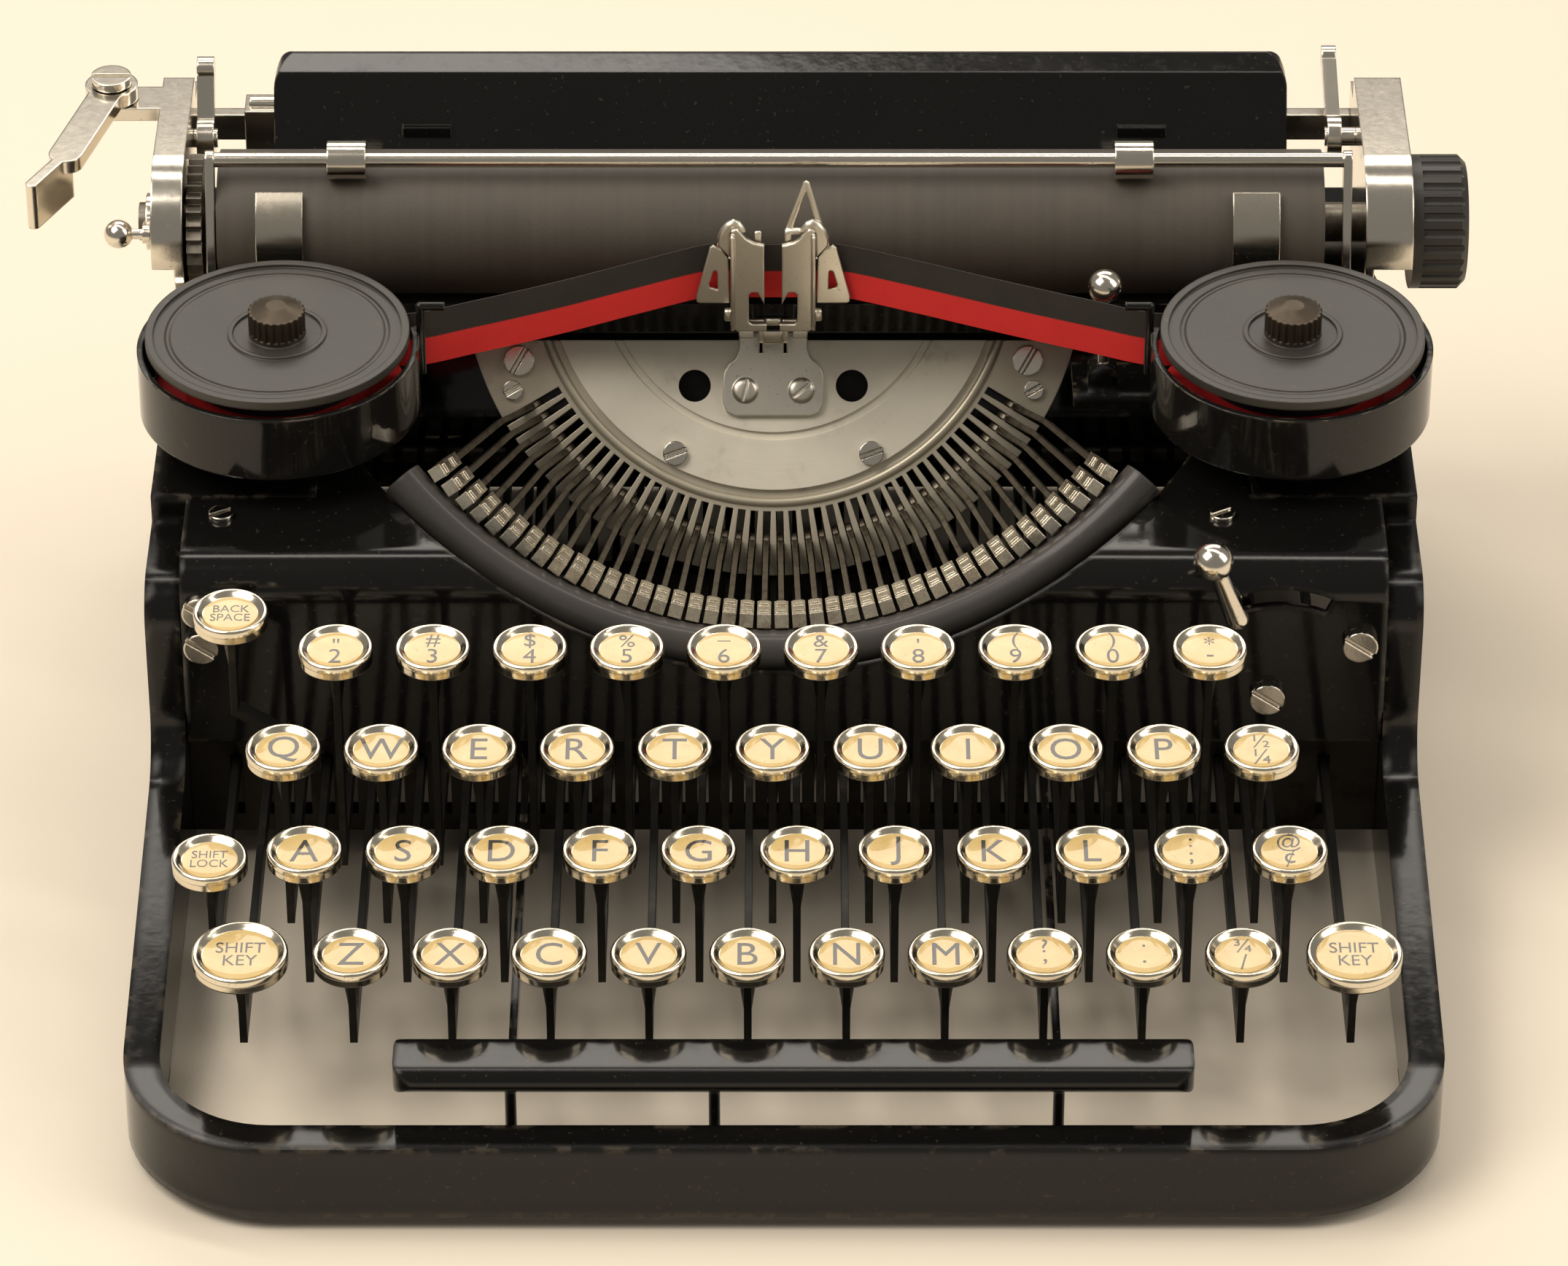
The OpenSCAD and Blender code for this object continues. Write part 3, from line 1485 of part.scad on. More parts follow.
// Ribbon carrier: two cheeks with a loop at each side, a bridge behind the type bar's path
module ribbon_vibrator() {
    z0 = 73;
    z1 = 101;
    hook_x = 7;
    hook_r = 1.8;
    bridge_top = 79;
    web_y = 196.4;
    loop_out = 15.8;
    loop_low = 83.5;
    loop_high = 97.5;
    color(nickel) on_table() {
        front_plate(vibrator_y, vibrator_y + sheet_t) translate([basket_x, 0]) difference() {
            union() {
                for (leg = guide_legs) {
                    translate([leg[0], z0]) square([leg[1] - leg[0], z1 - z0]);
                }
                for (s = [-1, 1]) {
                    translate([s * hook_x, z1]) circle(r = hook_r);
                    polygon([[s * 8, loop_low], [s * loop_out, loop_low + 1], [s * loop_out, loop_low + 3.5],
                        [s * 11.5, loop_high - 0.5], [s * 8, loop_high]]);
                }
            }
            for (s = [-1, 1]) {
                polygon([[s * 10.4, loop_low + 4], [s * 13.2, loop_low + 4.5], [s * 10.8, loop_high - 3.5]]);
            }
            translate([0, z1 + 1]) circle(r = 5);
        }
        for (x = [guide_legs[0][1] - sheet_t, guide_legs[1][0]]) {
            block([basket_x + x, vibrator_y, z0], [basket_x + x + sheet_t, web_y, bridge_top]);
        }
        block([basket_x + guide_legs[0][1] - sheet_t, web_y - sheet_t, z0],
            [basket_x + guide_legs[1][0] + sheet_t, web_y, bridge_top]);
        front_plate(vibrator_y, vibrator_y + sheet_t) translate([basket_x + hook_x, 0])
            polygon([[-1.4, z1 - 4], [1.4, z1 - 4], [3.4, z1 + 1], [0.5, 113], [-0.5, 113], [-3.4, z1 + 1]]);
    }
}

// Lever that reverses the ribbon, reaching through the slot of the front cover
reverse_y = cover_y + cover_t + 1.6;
reverse_t = 1.5;
module ribbon_reverse_lever() {
    foot = [reverse_x - reverse_arm * sin(reverse_lean), reverse_z + reverse_arm * cos(reverse_lean)];
    top = [84.9, 77];
    front_y = 109.5;
    ball_d = 8;
    stem_low_d = 4.8;
    color(nickel) on_table() {
        difference() {
            front_plate(reverse_y, reverse_y + reverse_t) {
                translate([reverse_x, reverse_z]) circle(r = 4.5);
                link_2d([reverse_x, reverse_z], foot, 5);
            }
            rod_y(reverse_y - 1, reverse_y + reverse_t + 1, reverse_x, reverse_z, stud_d + 2 * run_gap);
        }
        rod_y(front_y, reverse_y + eps, foot[0], foot[1], reverse_d);
        translate([foot[0], front_y, foot[1]]) sphere(d = stem_low_d, $fn = 32);
        translate([foot[0], front_y, foot[1]]) rotate([0, atan2(top[0] - foot[0], top[1] - foot[1]), 0])
            cylinder(h = norm(top - foot), d1 = stem_low_d, d2 = reverse_d);
        translate([top[0], front_y, top[1]]) sphere(d = ball_d, $fn = 32);
    }
}

module ribbon_selector() {
    ball_z = 96.2;
    color(nickel) on_table() {
        difference() {
            rod_y(selector_y - selector_t / 2, selector_y + selector_t / 2, selector_x, selector_z, 5.4);
            rod_y(selector_y - selector_t, selector_y + selector_t, selector_x, selector_z, wire_d + 2 * run_gap);
        }
        translate([selector_x, selector_y, selector_z + 2]) cylinder(h = ball_z - selector_z - 2, d = 2.2);
        translate([selector_x, selector_y, ball_z]) sphere(d = 7.2, $fn = 32);
    }
}

base_frame();
front_cover();
type_rest();
rear_plate();
segment();
segment_plate();
fulcrum_wire();
type_guide();
type_bars();
spool_cup_left();
spool_cup_right();
ribbon();
rubber_feet();
lever_shaft();
lever_comb();
bell();
frame_screws();
rail_posts();
number_key_bank();
upper_key_bank();
home_key_bank();
lower_key_bank();
sample_key();
sub_lever();
type_bar_link();
striking_type_bar();
shift_keys();
shift_lock_key();
backspace_key();
space_bar();
carriage_rail();
carriage_frame();
end_plate_left();
end_plate_right();
paper_table();
paper_fingers();
carriage_rack();
margin_rail();
margin_stop_left();
margin_stop_right();
platen();
platen_shaft();
platen_knob();
ratchet_wheel();
feed_roller_front();
feed_roller_rear();
line_space_lever();
paper_bail();
bail_rollers();
paper_release_lever();
carriage_release_lever();
line_space_selector();
spool_left();
spool_right();
ribbon_vibrator();
ribbon_reverse_lever();
ribbon_selector();
spring_drum();
escapement_wheel();
bell_hammer();
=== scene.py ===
# %% [markdown]
# # A portable typewriter
# The solids of the machine come from its CAD source and already have the right size and place.
# This lesson dresses them: finishes for enamel, nickel, steel and rubber, cards and letters for the keys,
# and an inked ribbon. Everything is in metres, in the frame of the solids.

# %% Load the solids
import math
import bpy
from mathutils import Matrix, Vector


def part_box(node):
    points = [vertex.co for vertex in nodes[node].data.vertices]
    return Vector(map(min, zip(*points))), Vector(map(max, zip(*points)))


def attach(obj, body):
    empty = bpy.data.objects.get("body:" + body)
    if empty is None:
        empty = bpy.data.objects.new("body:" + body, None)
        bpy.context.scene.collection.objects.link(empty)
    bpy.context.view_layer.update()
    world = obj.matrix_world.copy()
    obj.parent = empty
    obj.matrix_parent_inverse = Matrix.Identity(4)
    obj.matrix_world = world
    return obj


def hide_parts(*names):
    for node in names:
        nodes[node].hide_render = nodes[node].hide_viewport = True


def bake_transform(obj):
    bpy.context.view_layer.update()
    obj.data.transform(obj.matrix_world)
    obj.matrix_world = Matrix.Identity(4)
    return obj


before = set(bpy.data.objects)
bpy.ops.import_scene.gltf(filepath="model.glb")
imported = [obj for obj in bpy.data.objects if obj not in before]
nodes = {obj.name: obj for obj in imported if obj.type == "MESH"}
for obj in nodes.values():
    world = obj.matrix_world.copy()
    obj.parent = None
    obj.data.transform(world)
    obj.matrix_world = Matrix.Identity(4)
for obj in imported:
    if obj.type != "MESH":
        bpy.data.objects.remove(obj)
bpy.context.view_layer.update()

# %% [markdown]
# The drawing of the machine starts at the middle of the front bar's lower edge and counts in millimetres.
# On the table the machine is moved so that its footprint is centred, and it stands on rubber feet.
# One helper turns a point of the drawing into a point of the scene.

# %% Places in the drawing
MILLI = 0.001
TABLE_SHIFT = Vector((6.92, -129.2, 3.0))


def at(x, y, z):
    """A point of the drawing, in millimetres, as a point of the scene, in metres."""
    return (Vector((x, y, z)) + TABLE_SHIFT) * MILLI


print("front bar starts at", tuple(round(v, 4) for v in at(0, 0, 0)))

# %% [markdown]
# A finish is a network of shader nodes. Written out link by link it is hard to read, so a small class wraps
# a socket: adding, scaling or comparing two of them adds the Math nodes, and one method makes any other node.

# %% A socket that can be reckoned with


class Wire:
    """An output socket of a finish, which takes part in sums."""

    def __init__(self, tree, socket=None):
        self.tree = tree
        self.socket = socket

    def node(self, kind, settings=None, out=0, **values):
        """Adds a node of this kind, sets it, fills its sockets and returns one output."""
        made = self.tree.nodes.new("ShaderNode" + kind)
        for name, value in (settings or {}).items():
            if name == "stops":
                ramp = made.color_ramp.elements
                while len(ramp) < len(value):
                    ramp.new(0.5)
                for stop, (place, colour) in zip(ramp, value):
                    stop.position = place
                    stop.color = (*colour, 1.0)
            else:
                setattr(made, name, value)
        for name, value in values.items():
            key = int(name[2:]) if name[:2] == "in" and name[2:].isdigit() else name.replace("_", " ")
            self.feed(made.inputs[key], value)
        return Wire(self.tree, made.outputs[out])

    def feed(self, socket, value):
        """Links a wire to a socket, or sets the socket's own value."""
        if isinstance(value, Wire):
            self.tree.links.new(value.socket, socket)
        elif socket.type == "RGBA" and len(value) == 3:
            socket.default_value = (*value, 1.0)
        else:
            socket.default_value = value

    def maths(self, operation, first, second):
        return self.node("Math", {"operation": operation}, in0=first, in1=second)

    def __add__(self, other):
        return self.maths("ADD", self, other)

    __radd__ = __add__

    def __sub__(self, other):
        return self.maths("SUBTRACT", self, other)

    def __rsub__(self, other):
        return self.maths("SUBTRACT", other, self)

    def __mul__(self, other):
        return self.maths("MULTIPLY", self, other)

    __rmul__ = __mul__

    def __truediv__(self, other):
        return self.maths("DIVIDE", self, other)

    def above(self, low, high):
        """0 below low, 1 above high, and a smooth step between."""
        return self.node("MapRange", {"interpolation_type": "SMOOTHSTEP"},
                         Value=self, From_Min=low, From_Max=high, To_Min=0.0, To_Max=1.0)

    def between(self, low, high):
        """Stretches 0..1 to low..high."""
        return self.node("MapRange", Value=self, From_Min=0.0, From_Max=1.0, To_Min=low, To_Max=high)


def colour_mix(share, first, second):
    """The first colour where share is 0, the second where it is 1."""
    return share.node("Mix", {"data_type": "RGBA"}, out=2, in0=share, in6=first, in7=second)


def toned(colour, share):
    """The colour made darker or paler."""
    return tuple(min(1.0, share * v) for v in colour)


def start_finish(name):
    """A new material: returns it, its shader and a wire of the place on the object."""
    material = bpy.data.materials.new(name)
    material.use_nodes = True
    tree = material.node_tree
    shader = tree.nodes["Principled BSDF"]
    place = Wire(tree).node("TexCoord", out="Object")
    return material, shader, place


def grain(place, scale, detail=3.0, roughness=0.55):
    """Cloudy noise from 0 to 1 with this many clouds to the metre."""
    return place.node("TexNoise", out=0, Vector=place, Scale=scale, Detail=detail, Roughness=roughness)


def fill(shader, **values):
    """Sets or links the sockets of a shader by name."""
    wire = Wire(shader.id_data)
    for name, value in values.items():
        wire.feed(shader.inputs[name.replace("_", " ")], value)


def worn_edges(place, radius):
    """Returns a rounded normal, and a mask that is 1 on sharp edges."""
    rounded = place.node("Bevel", {"samples": 6}, Radius=radius)
    flat = place.node("NewGeometry", out="Normal")
    likeness = rounded.node("VectorMath", {"operation": "DOT_PRODUCT"}, out="Value", in0=rounded, in1=flat)
    return rounded, (1.0 - likeness).above(0.02, 0.16)


print("finish helpers ready")

# %% [markdown]
# Black stove enamel is a thick glossy lacquer. It is almost black, it flows round the edges, it carries dust and
# fine rubbing marks, and on corners it wears through to brown primer. The bevel node rounds the edges in the
# light, and the same node shows where the edges are, so the wear needs no painting.

# %% Enamel
ENAMEL_BLACK = (0.0032, 0.0031, 0.003)
ENAMEL_CLOUD = (0.0068, 0.0061, 0.0054)
PRIMER_BROWN = (0.16, 0.13, 0.09)
DUST = (0.11, 0.1, 0.085)


def enamel_finish(name, edge, wear, gloss, haze=1.0):
    """Edge is the radius that rounds the corners, wear the share of chips on them, haze how grey the black is."""
    material, shader, place = start_finish(name)
    normal, edges = worn_edges(place, edge)
    clouds = grain(place, 38.0)
    specks = grain(place, 900.0, 2.0).above(0.67, 0.74)
    rubbed = grain(place, 240.0, 6.0, 0.7).above(0.5, 0.72)
    chips = (edges * grain(place, 160.0, 5.0).above(0.52, 0.62)) * wear
    black = colour_mix(clouds, toned(ENAMEL_BLACK, haze), toned(ENAMEL_CLOUD, haze))
    dusty = colour_mix(specks * 0.2, black, DUST)
    paint = colour_mix(chips, dusty, PRIMER_BROWN)
    bump = place.node("Bump", Strength=0.05, Distance=0.0004, Height=grain(place, 300.0, 2.0), Normal=normal)
    fill(shader, Base_Color=paint, Roughness=clouds.between(gloss, gloss + 0.05) + rubbed * 0.07 + chips * 0.3,
         Normal=bump)
    shader.inputs["Specular IOR Level"].default_value = 0.28
    shader.inputs["Coat Weight"].default_value = 0.15
    shader.inputs["Coat Roughness"].default_value = 0.04
    return material


enamel_frame = enamel_finish("black_enamel_frame", 0.003, 0.5, 0.07)
enamel = enamel_finish("black_enamel", 0.0016, 0.6, 0.07)
enamel_thin = enamel_finish("black_enamel_sheet", 0.0006, 0.6, 0.07)
# Painted sheen: the type rest's black is made nine times paler, for the broad sheen on its rounded rim.
enamel_satin_painted_sheen = enamel_finish("black_enamel_painted_sheen", 0.001, 0.5, 0.34, 9.0)
# The cups' edges get more chips: partly real wear, partly a painted highlight along their rims.
enamel_cup = enamel_finish("black_enamel_cup", 0.0006, 1.0, 0.07, 1.5)
print("made", enamel.name, "for five kinds of piece")

# %% [markdown]
# Nickel plate is a warm, slightly yellow metal. On an old machine it is scratched, it clouds over, and brown
# tarnish gathers in patches. Steel under it is darker and rougher, and the levers are blackened.

# %% Nickel and steel


def metal_finish(name, bright, tarnish, share, low, high, edge, scratch=0.05):
    """Share widens the tarnish, low and high are the roughness of clean and tarnished metal."""
    material, shader, place = start_finish(name)
    normal, edges = worn_edges(place, edge)
    patches = grain(place, 85.0, 6.0, 0.65).above(0.62 - share, 0.86 - share)
    fine = grain(place, 700.0, 4.0, 0.7)
    pits = grain(place, 1500.0, 2.0).above(0.66, 0.74)
    colour = colour_mix(patches, bright, tarnish)
    spotted = colour_mix(pits * 0.5, colour, toned(tarnish, 0.35))
    shown = colour_mix(edges * 0.5, spotted, toned(bright, 1.15))
    bump = place.node("Bump", Strength=scratch, Distance=0.0002, Height=fine, Normal=normal)
    fill(shader, Base_Color=shown, Metallic=1.0 - pits * 0.3, Roughness=patches.between(low, high) + fine * 0.08,
         Normal=bump)
    return material


nickel = metal_finish("nickel_plate", (0.74, 0.69, 0.6), (0.46, 0.39, 0.29), 0.03, 0.13, 0.3, 0.0005)
nickel_dull = metal_finish("nickel_dull", (0.62, 0.57, 0.48), (0.36, 0.3, 0.22), 0.08, 0.2, 0.36, 0.0004)
nickel_satin = metal_finish("nickel_satin", (0.78, 0.73, 0.63), (0.52, 0.45, 0.35), 0.05, 0.3, 0.42, 0.0005, 0.03)
black_steel = metal_finish("blackened_steel", (0.035, 0.033, 0.03), (0.02, 0.016, 0.012), 0.15, 0.35, 0.55, 0.0003)
frame_steel = metal_finish("plain_steel", (0.2, 0.18, 0.15), (0.08, 0.06, 0.04), 0.2, 0.35, 0.5, 0.0003)
print("made nickel and steel")

# %% [markdown]
# The segment is a ground steel half disc. Its grinding marks run round its centre, so the noise is read in
# the disc's own plane: the place is moved and turned to the disc, and its distance from the centre is drawn out
# into fine rings. Stains darken it in patches, painted shade darkens the slotted rim, and the two holes in it are
# painted black: painted shade, with some oil.

# %% Segment


def parts_of(vector):
    """The three numbers of a vector."""
    split = vector.node("SeparateXYZ", Vector=vector)
    return [Wire(split.tree, output) for output in split.socket.node.outputs]


def from_axis(place, centre, tilt=0.0):
    """Distance from an axis through a centre, and height along it. The axis stands upright or leans back."""
    moved = place.node("VectorMath", {"operation": "SUBTRACT"}, in0=place, in1=tuple(centre))
    turned = moved.node("VectorRotate", {"rotation_type": "X_AXIS"}, Vector=moved, Angle=-tilt)
    x, y, height = parts_of(turned)
    flat = x.node("CombineXYZ", X=x, Y=y)
    return flat.node("VectorMath", {"operation": "LENGTH"}, out="Value", in0=flat), height


DISC_CENTRE = at(-2.25, 221.4, 76.2)
DISC_TILT = math.radians(56.0)
DISC_TURN = Matrix.Rotation(DISC_TILT, 3, "X")
HOLE_CENTRES = [DISC_CENTRE + DISC_TURN @ Vector((side * 0.0165, -0.0256, 0.0)) for side in (-1, 1)]
HOLE_WALL = 0.00334
HOLE_PAINTED_SHADE = (0.006, 0.005, 0.004)


def segment_finish(name, bright, dark, rim_shade_start, metal):
    material, shader, place = start_finish(name)
    reach, _ = from_axis(place, DISC_CENTRE, DISC_TILT)
    ringed = reach.node("CombineXYZ", X=reach * 2600.0, Y=reach * 40.0)
    marks = ringed.node("TexNoise", Vector=ringed, Scale=1.0, Detail=3.0)
    cloud = grain(place, 60.0, 5.0)
    # Painted shade: from this distance from the centre outwards the slotted rim is darkened.
    rim_shade = reach.above(rim_shade_start - 0.002, rim_shade_start + 0.006)
    stain = grain(place, 120.0, 6.0, 0.7).above(0.55, 0.75)
    steel = colour_mix(cloud, bright, toned(bright, 0.7))
    dirty = colour_mix(stain * 0.45, steel, dark)
    shown = colour_mix(rim_shade * 0.22, dirty, dark)
    # Painted shade, with some oil: inside the two holes the steel is painted nearly black.
    for centre in HOLE_CENTRES:
        hole_shade = 1.0 - from_axis(place, centre, DISC_TILT)[0].above(HOLE_WALL, HOLE_WALL + 0.00008)
        shown = colour_mix(hole_shade, shown, HOLE_PAINTED_SHADE)
    normal, _ = worn_edges(place, 0.0003)
    bump = place.node("Bump", Strength=0.12, Distance=0.0002, Height=marks, Normal=normal)
    fill(shader, Base_Color=shown, Roughness=marks.between(0.3, 0.46) + stain * 0.1, Normal=bump)
    shader.inputs["Metallic"].default_value = metal
    return material


segment_steel = segment_finish("segment_steel", (0.68, 0.62, 0.49), (0.22, 0.185, 0.13), 0.052, 0.55)
plate_steel = segment_finish("segment_plate_steel", (0.95, 0.89, 0.74), (0.48, 0.4, 0.29), 0.075, 0.2)
print("made", segment_steel.name, "and", plate_steel.name)

# %% [markdown]
# A type bar is a thin steel strip, brown with age and oil, and the slug soldered to its end is plated. Both are in
# one solid, so the finish asks how far a point is from the fulcrum wire, which is a circle in the disc's plane.

# %% Type bars
WIRE_RADIUS = 0.059
SLUG_START = 0.0599


def type_bar_finish(name):
    material, shader, place = start_finish(name)
    reach, height = from_axis(place, DISC_CENTRE, DISC_TILT)
    out = reach - WIRE_RADIUS
    away = out.node("CombineXYZ", X=out, Y=height)
    from_wire = away.node("VectorMath", {"operation": "LENGTH"}, out="Value", in0=away)
    slug = from_wire.above(SLUG_START, SLUG_START + 0.0003)
    normal, _ = worn_edges(place, 0.0003)
    patches = grain(place, 260.0, 5.0, 0.65).above(0.45, 0.72)
    fine = grain(place, 1200.0, 3.0)
    strip = colour_mix(patches, (0.2, 0.175, 0.135), (0.07, 0.055, 0.038))
    plated = colour_mix(patches * 0.7, (0.78, 0.72, 0.6), (0.42, 0.35, 0.25))
    bump = place.node("Bump", Strength=0.08, Distance=0.0002, Height=fine, Normal=normal)
    fill(shader, Base_Color=colour_mix(slug, strip, plated), Roughness=(1.0 - slug) * 0.2 + fine.between(0.18, 0.34),
         Normal=bump)
    shader.inputs["Metallic"].default_value = 1.0
    return material


type_steel = type_bar_finish("type_steel")
print("made", type_steel.name)

# %% [markdown]
# Platen rubber has hardened to a dull grey brown with faint rings where type has beaten it. The knob is moulded
# hard rubber, once black, now a little brown. Both are rough, so their colour carries them.

# %% Rubber


def rubber_finish(name, dark, pale, rough, beaten):
    material, shader, place = start_finish(name)
    across = parts_of(place)[0]
    cloud = grain(place, 70.0, 5.0)
    fine = grain(place, 1300.0, 3.0)
    bands = across.node("TexNoise", {"noise_dimensions": "1D"}, W=across, Scale=420.0, Detail=2.0)
    colour = colour_mix(cloud, dark, pale)
    shown = colour_mix(bands * beaten, colour, toned(pale, 1.5))
    normal = place.node("Bump", Strength=0.2, Distance=0.0002, Height=fine + bands * 0.6)
    fill(shader, Base_Color=shown, Roughness=cloud.between(rough, rough + 0.18), Normal=normal)
    return material


platen_rubber = rubber_finish("platen_rubber", (0.042, 0.036, 0.028), (0.072, 0.06, 0.045), 0.5, 0.3)
knob_rubber = rubber_finish("knob_rubber", (0.012, 0.0105, 0.009), (0.028, 0.024, 0.018), 0.34, 0.1)
foot_rubber = rubber_finish("foot_rubber", (0.02, 0.019, 0.017), (0.04, 0.037, 0.03), 0.7, 0.1)
print("made rubber")

# %% [markdown]
# Each bank of keys is one solid: levers, stems and rings together. The rings are bright nickel and the rest is
# blackened, so one finish holds both and changes over at the height where the ring begins.

# %% Key levers and rings


def key_finish(name, ring_height):
    material, shader, place = start_finish(name)
    height = parts_of(place)[2]
    ring = height.above(ring_height, ring_height + 0.0002)
    normal, _ = worn_edges(place, 0.0003)
    patches = grain(place, 160.0, 6.0, 0.65).above(0.5, 0.78)
    fine = grain(place, 900.0, 3.0)
    bright = colour_mix(patches, (0.76, 0.69, 0.55), (0.52, 0.43, 0.28))
    dark = colour_mix(patches, (0.016, 0.015, 0.013), (0.04, 0.034, 0.026))
    bump = place.node("Bump", Strength=0.05, Distance=0.0002, Height=fine, Normal=normal)
    fill(shader, Base_Color=colour_mix(ring, dark, bright), Metallic=ring * 0.35 + 0.65,
         Roughness=colour_rough(ring, patches), Normal=bump)
    return material


def colour_rough(ring, patches):
    """Rings are polished where they are clean, levers are dull."""
    return (1.0 - ring) * 0.42 + ring * patches.between(0.14, 0.3)


ROW_TOP = [69.5, 59.0, 48.5, 38.0]
RING_HEIGHT = 2.85
bank_names = ["number_key_bank", "upper_key_bank", "home_key_bank", "lower_key_bank"]
key_tops = dict(zip(bank_names, ROW_TOP))
key_tops.update({"sample_key": 59.0, "shift_keys": 38.0, "shift_lock_key": 46.5, "backspace_key": 75.0})
key_finishes = {}
for name, top in key_tops.items():
    key_finishes[name] = key_finish(name + "_finish", at(0, 0, top - RING_HEIGHT).z)
print("made", len(key_finishes), "key finishes")

# %% [markdown]
# A spool is one solid of three things: the wound ribbon, whose lower half is red, the pressed lid with its bead, and
# the knurled bronze nut. Height and distance from the spool's axis tell them apart, and the bead is drawn as a bump.

# %% Spools
LID_HEIGHT = 95.7
NUT_HEIGHT = 97.6


def spool_finish(solid):
    low, high = (Vector(corner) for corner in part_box(solid))
    radius = (high.x - low.x) / 2
    material, shader, place = start_finish(solid + "_finish")
    reach, _ = from_axis(place, (low + high) / 2)
    height = parts_of(place)[2]
    lid = height.above(at(0, 0, LID_HEIGHT).z, at(0, 0, LID_HEIGHT + 0.1).z)
    upper = height.above(at(0, 0, 89.0).z, at(0, 0, 89.3).z)
    nut = height.above(at(0, 0, NUT_HEIGHT).z, at(0, 0, NUT_HEIGHT + 0.1).z) * (1.0 - reach.above(0.0063, 0.0065))
    bead = reach.above(0.8 * radius, 0.825 * radius) * (1.0 - reach.above(0.835 * radius, 0.86 * radius))
    normal, edges = worn_edges(place, 0.0005)
    cloud = grain(place, 60.0, 5.0)
    turns = height.node("TexNoise", {"noise_dimensions": "1D"}, W=height, Scale=2500.0, Detail=1.0)
    wear = grain(place, 420.0, 6.0, 0.7).above(0.6, 0.72)
    black = colour_mix(cloud, (0.02, 0.0185, 0.0155), (0.038, 0.034, 0.027))
    pressed = colour_mix(wear * 0.18 + edges * 0.2, black, (0.2, 0.175, 0.135))
    bronze = colour_mix(grain(place, 500.0, 4.0), (0.1, 0.075, 0.05), (0.045, 0.036, 0.026))
    wound = colour_mix(upper, (0.5, 0.012, 0.012), (0.012, 0.011, 0.011))
    relief = turns * (1.0 - lid) * 0.2 + bead * lid
    bump = place.node("Bump", Strength=0.5, Distance=0.0006, Height=relief, Normal=normal)
    fill(shader, Base_Color=colour_mix(nut, colour_mix(lid, wound, pressed), bronze), Metallic=nut * 0.8,
         Roughness=(1.0 - lid) * 0.35 + cloud.between(0.34, 0.44), Normal=bump)
    return material


spool_finishes = {solid: spool_finish(solid) for solid in ("spool_left", "spool_right")}
print("made", len(spool_finishes), "spool finishes")

# %% [markdown]
# Now every solid takes its finish. Sheet pieces get the enamel with the smaller edge.

# %% Finishes on the solids
worn_by = {
    "base_frame": enamel_frame, "front_cover": enamel, "type_rest": enamel_satin_painted_sheen, "rear_plate": enamel_thin,
    "space_bar": enamel, "spool_cup_left": enamel_cup, "spool_cup_right": enamel_cup,
    "carriage_frame": enamel_thin, "paper_table": enamel_thin,
    "platen": platen_rubber, "platen_knob": knob_rubber, "rubber_feet": foot_rubber,
    "feed_roller_front": platen_rubber, "feed_roller_rear": platen_rubber,
    "segment": segment_steel, "segment_plate": plate_steel,
    "type_bars": type_steel, "striking_type_bar": type_steel, "fulcrum_wire": type_steel,
    "paper_fingers": nickel_dull,
    "lever_comb": black_steel, "lever_shaft": frame_steel, "sub_lever": frame_steel, "type_bar_link": frame_steel,
    "carriage_rail": frame_steel, "carriage_rack": frame_steel, "rail_posts": frame_steel,
    "platen_shaft": frame_steel, "ratchet_wheel": frame_steel, "bell_hammer": frame_steel,
}
worn_by.update(key_finishes)
worn_by.update(spool_finishes)
for name, solid in nodes.items():
    solid.data.materials.clear()
    solid.data.materials.append(worn_by.get(name, nickel))
print("finished", len(nodes), "solids,", sum(n not in worn_by for n in nodes), "of them in bright nickel")

# %% [markdown]
# A key top is a printed card under a low glass lens, held by a ring that is dished towards the card. Lens and dish
# are modelled once for each size of key: a short cylinder whose top face is inset again and again, and raised or
# sunk a little each time. The lens shows the card seen through the glass: cream, browner in patches, under a
# clear coat.

# %% Card and lens


def only(piece):
    """Makes one object the selected and active one."""
    bpy.ops.object.select_all(action="DESELECT")
    piece.select_set(True)
    bpy.context.view_layer.objects.active = piece


def card_finish(name):
    material, shader, place = start_finish(name)
    stain = grain(place, 260.0, 5.0, 0.6)
    spots = grain(place, 1100.0, 3.0).above(0.64, 0.74)
    cream = colour_mix(stain, (0.66, 0.5, 0.22), (0.5, 0.33, 0.11))
    aged = colour_mix(spots * 0.4, cream, (0.22, 0.13, 0.045))
    fill(shader, Base_Color=aged, Roughness=stain.between(0.3, 0.5))
    shader.inputs["Coat Weight"].default_value = 0.9
    shader.inputs["Coat Roughness"].default_value = 0.04
    return material


def ink_finish(name, colour, rough):
    material, shader, place = start_finish(name)
    patchy = grain(place, 900.0, 3.0)
    fill(shader, Base_Color=colour_mix(patchy, colour, tuple(1.8 * v + 0.01 for v in colour)),
         Roughness=patchy.between(rough, rough + 0.2))
    shader.inputs["Coat Weight"].default_value = 0.9
    shader.inputs["Coat Roughness"].default_value = 0.04
    return material


def face_up(piece):
    """Selects the highest face that looks up."""
    bpy.ops.object.mode_set(mode="OBJECT")
    faces = [f for f in piece.data.polygons if f.normal.z > 0.9]
    highest = max(f.center.z for f in faces)
    for f in piece.data.polygons:
        f.select = f.normal.z > 0.9 and f.center.z > highest - 1e-7
    bpy.ops.object.mode_set(mode="EDIT")


KEY_ACROSS = 14.6
SHIFT_ACROSS = 18.4
RING_EDGE = 1.95
LENS_BASE = 0.00012
LENS_STEPS = ((0.05, 0.00006), (0.22, 0.00005), (0.24, 0.00003), (0.2, 0.00002))
DISH_STEPS = ((0.14, 0.36), (0.26, 0.2), (0.28, -0.04), (0.5, -0.3), (0.62, -0.56), (0.15, -0.06))
DISH_WALL = 1.1


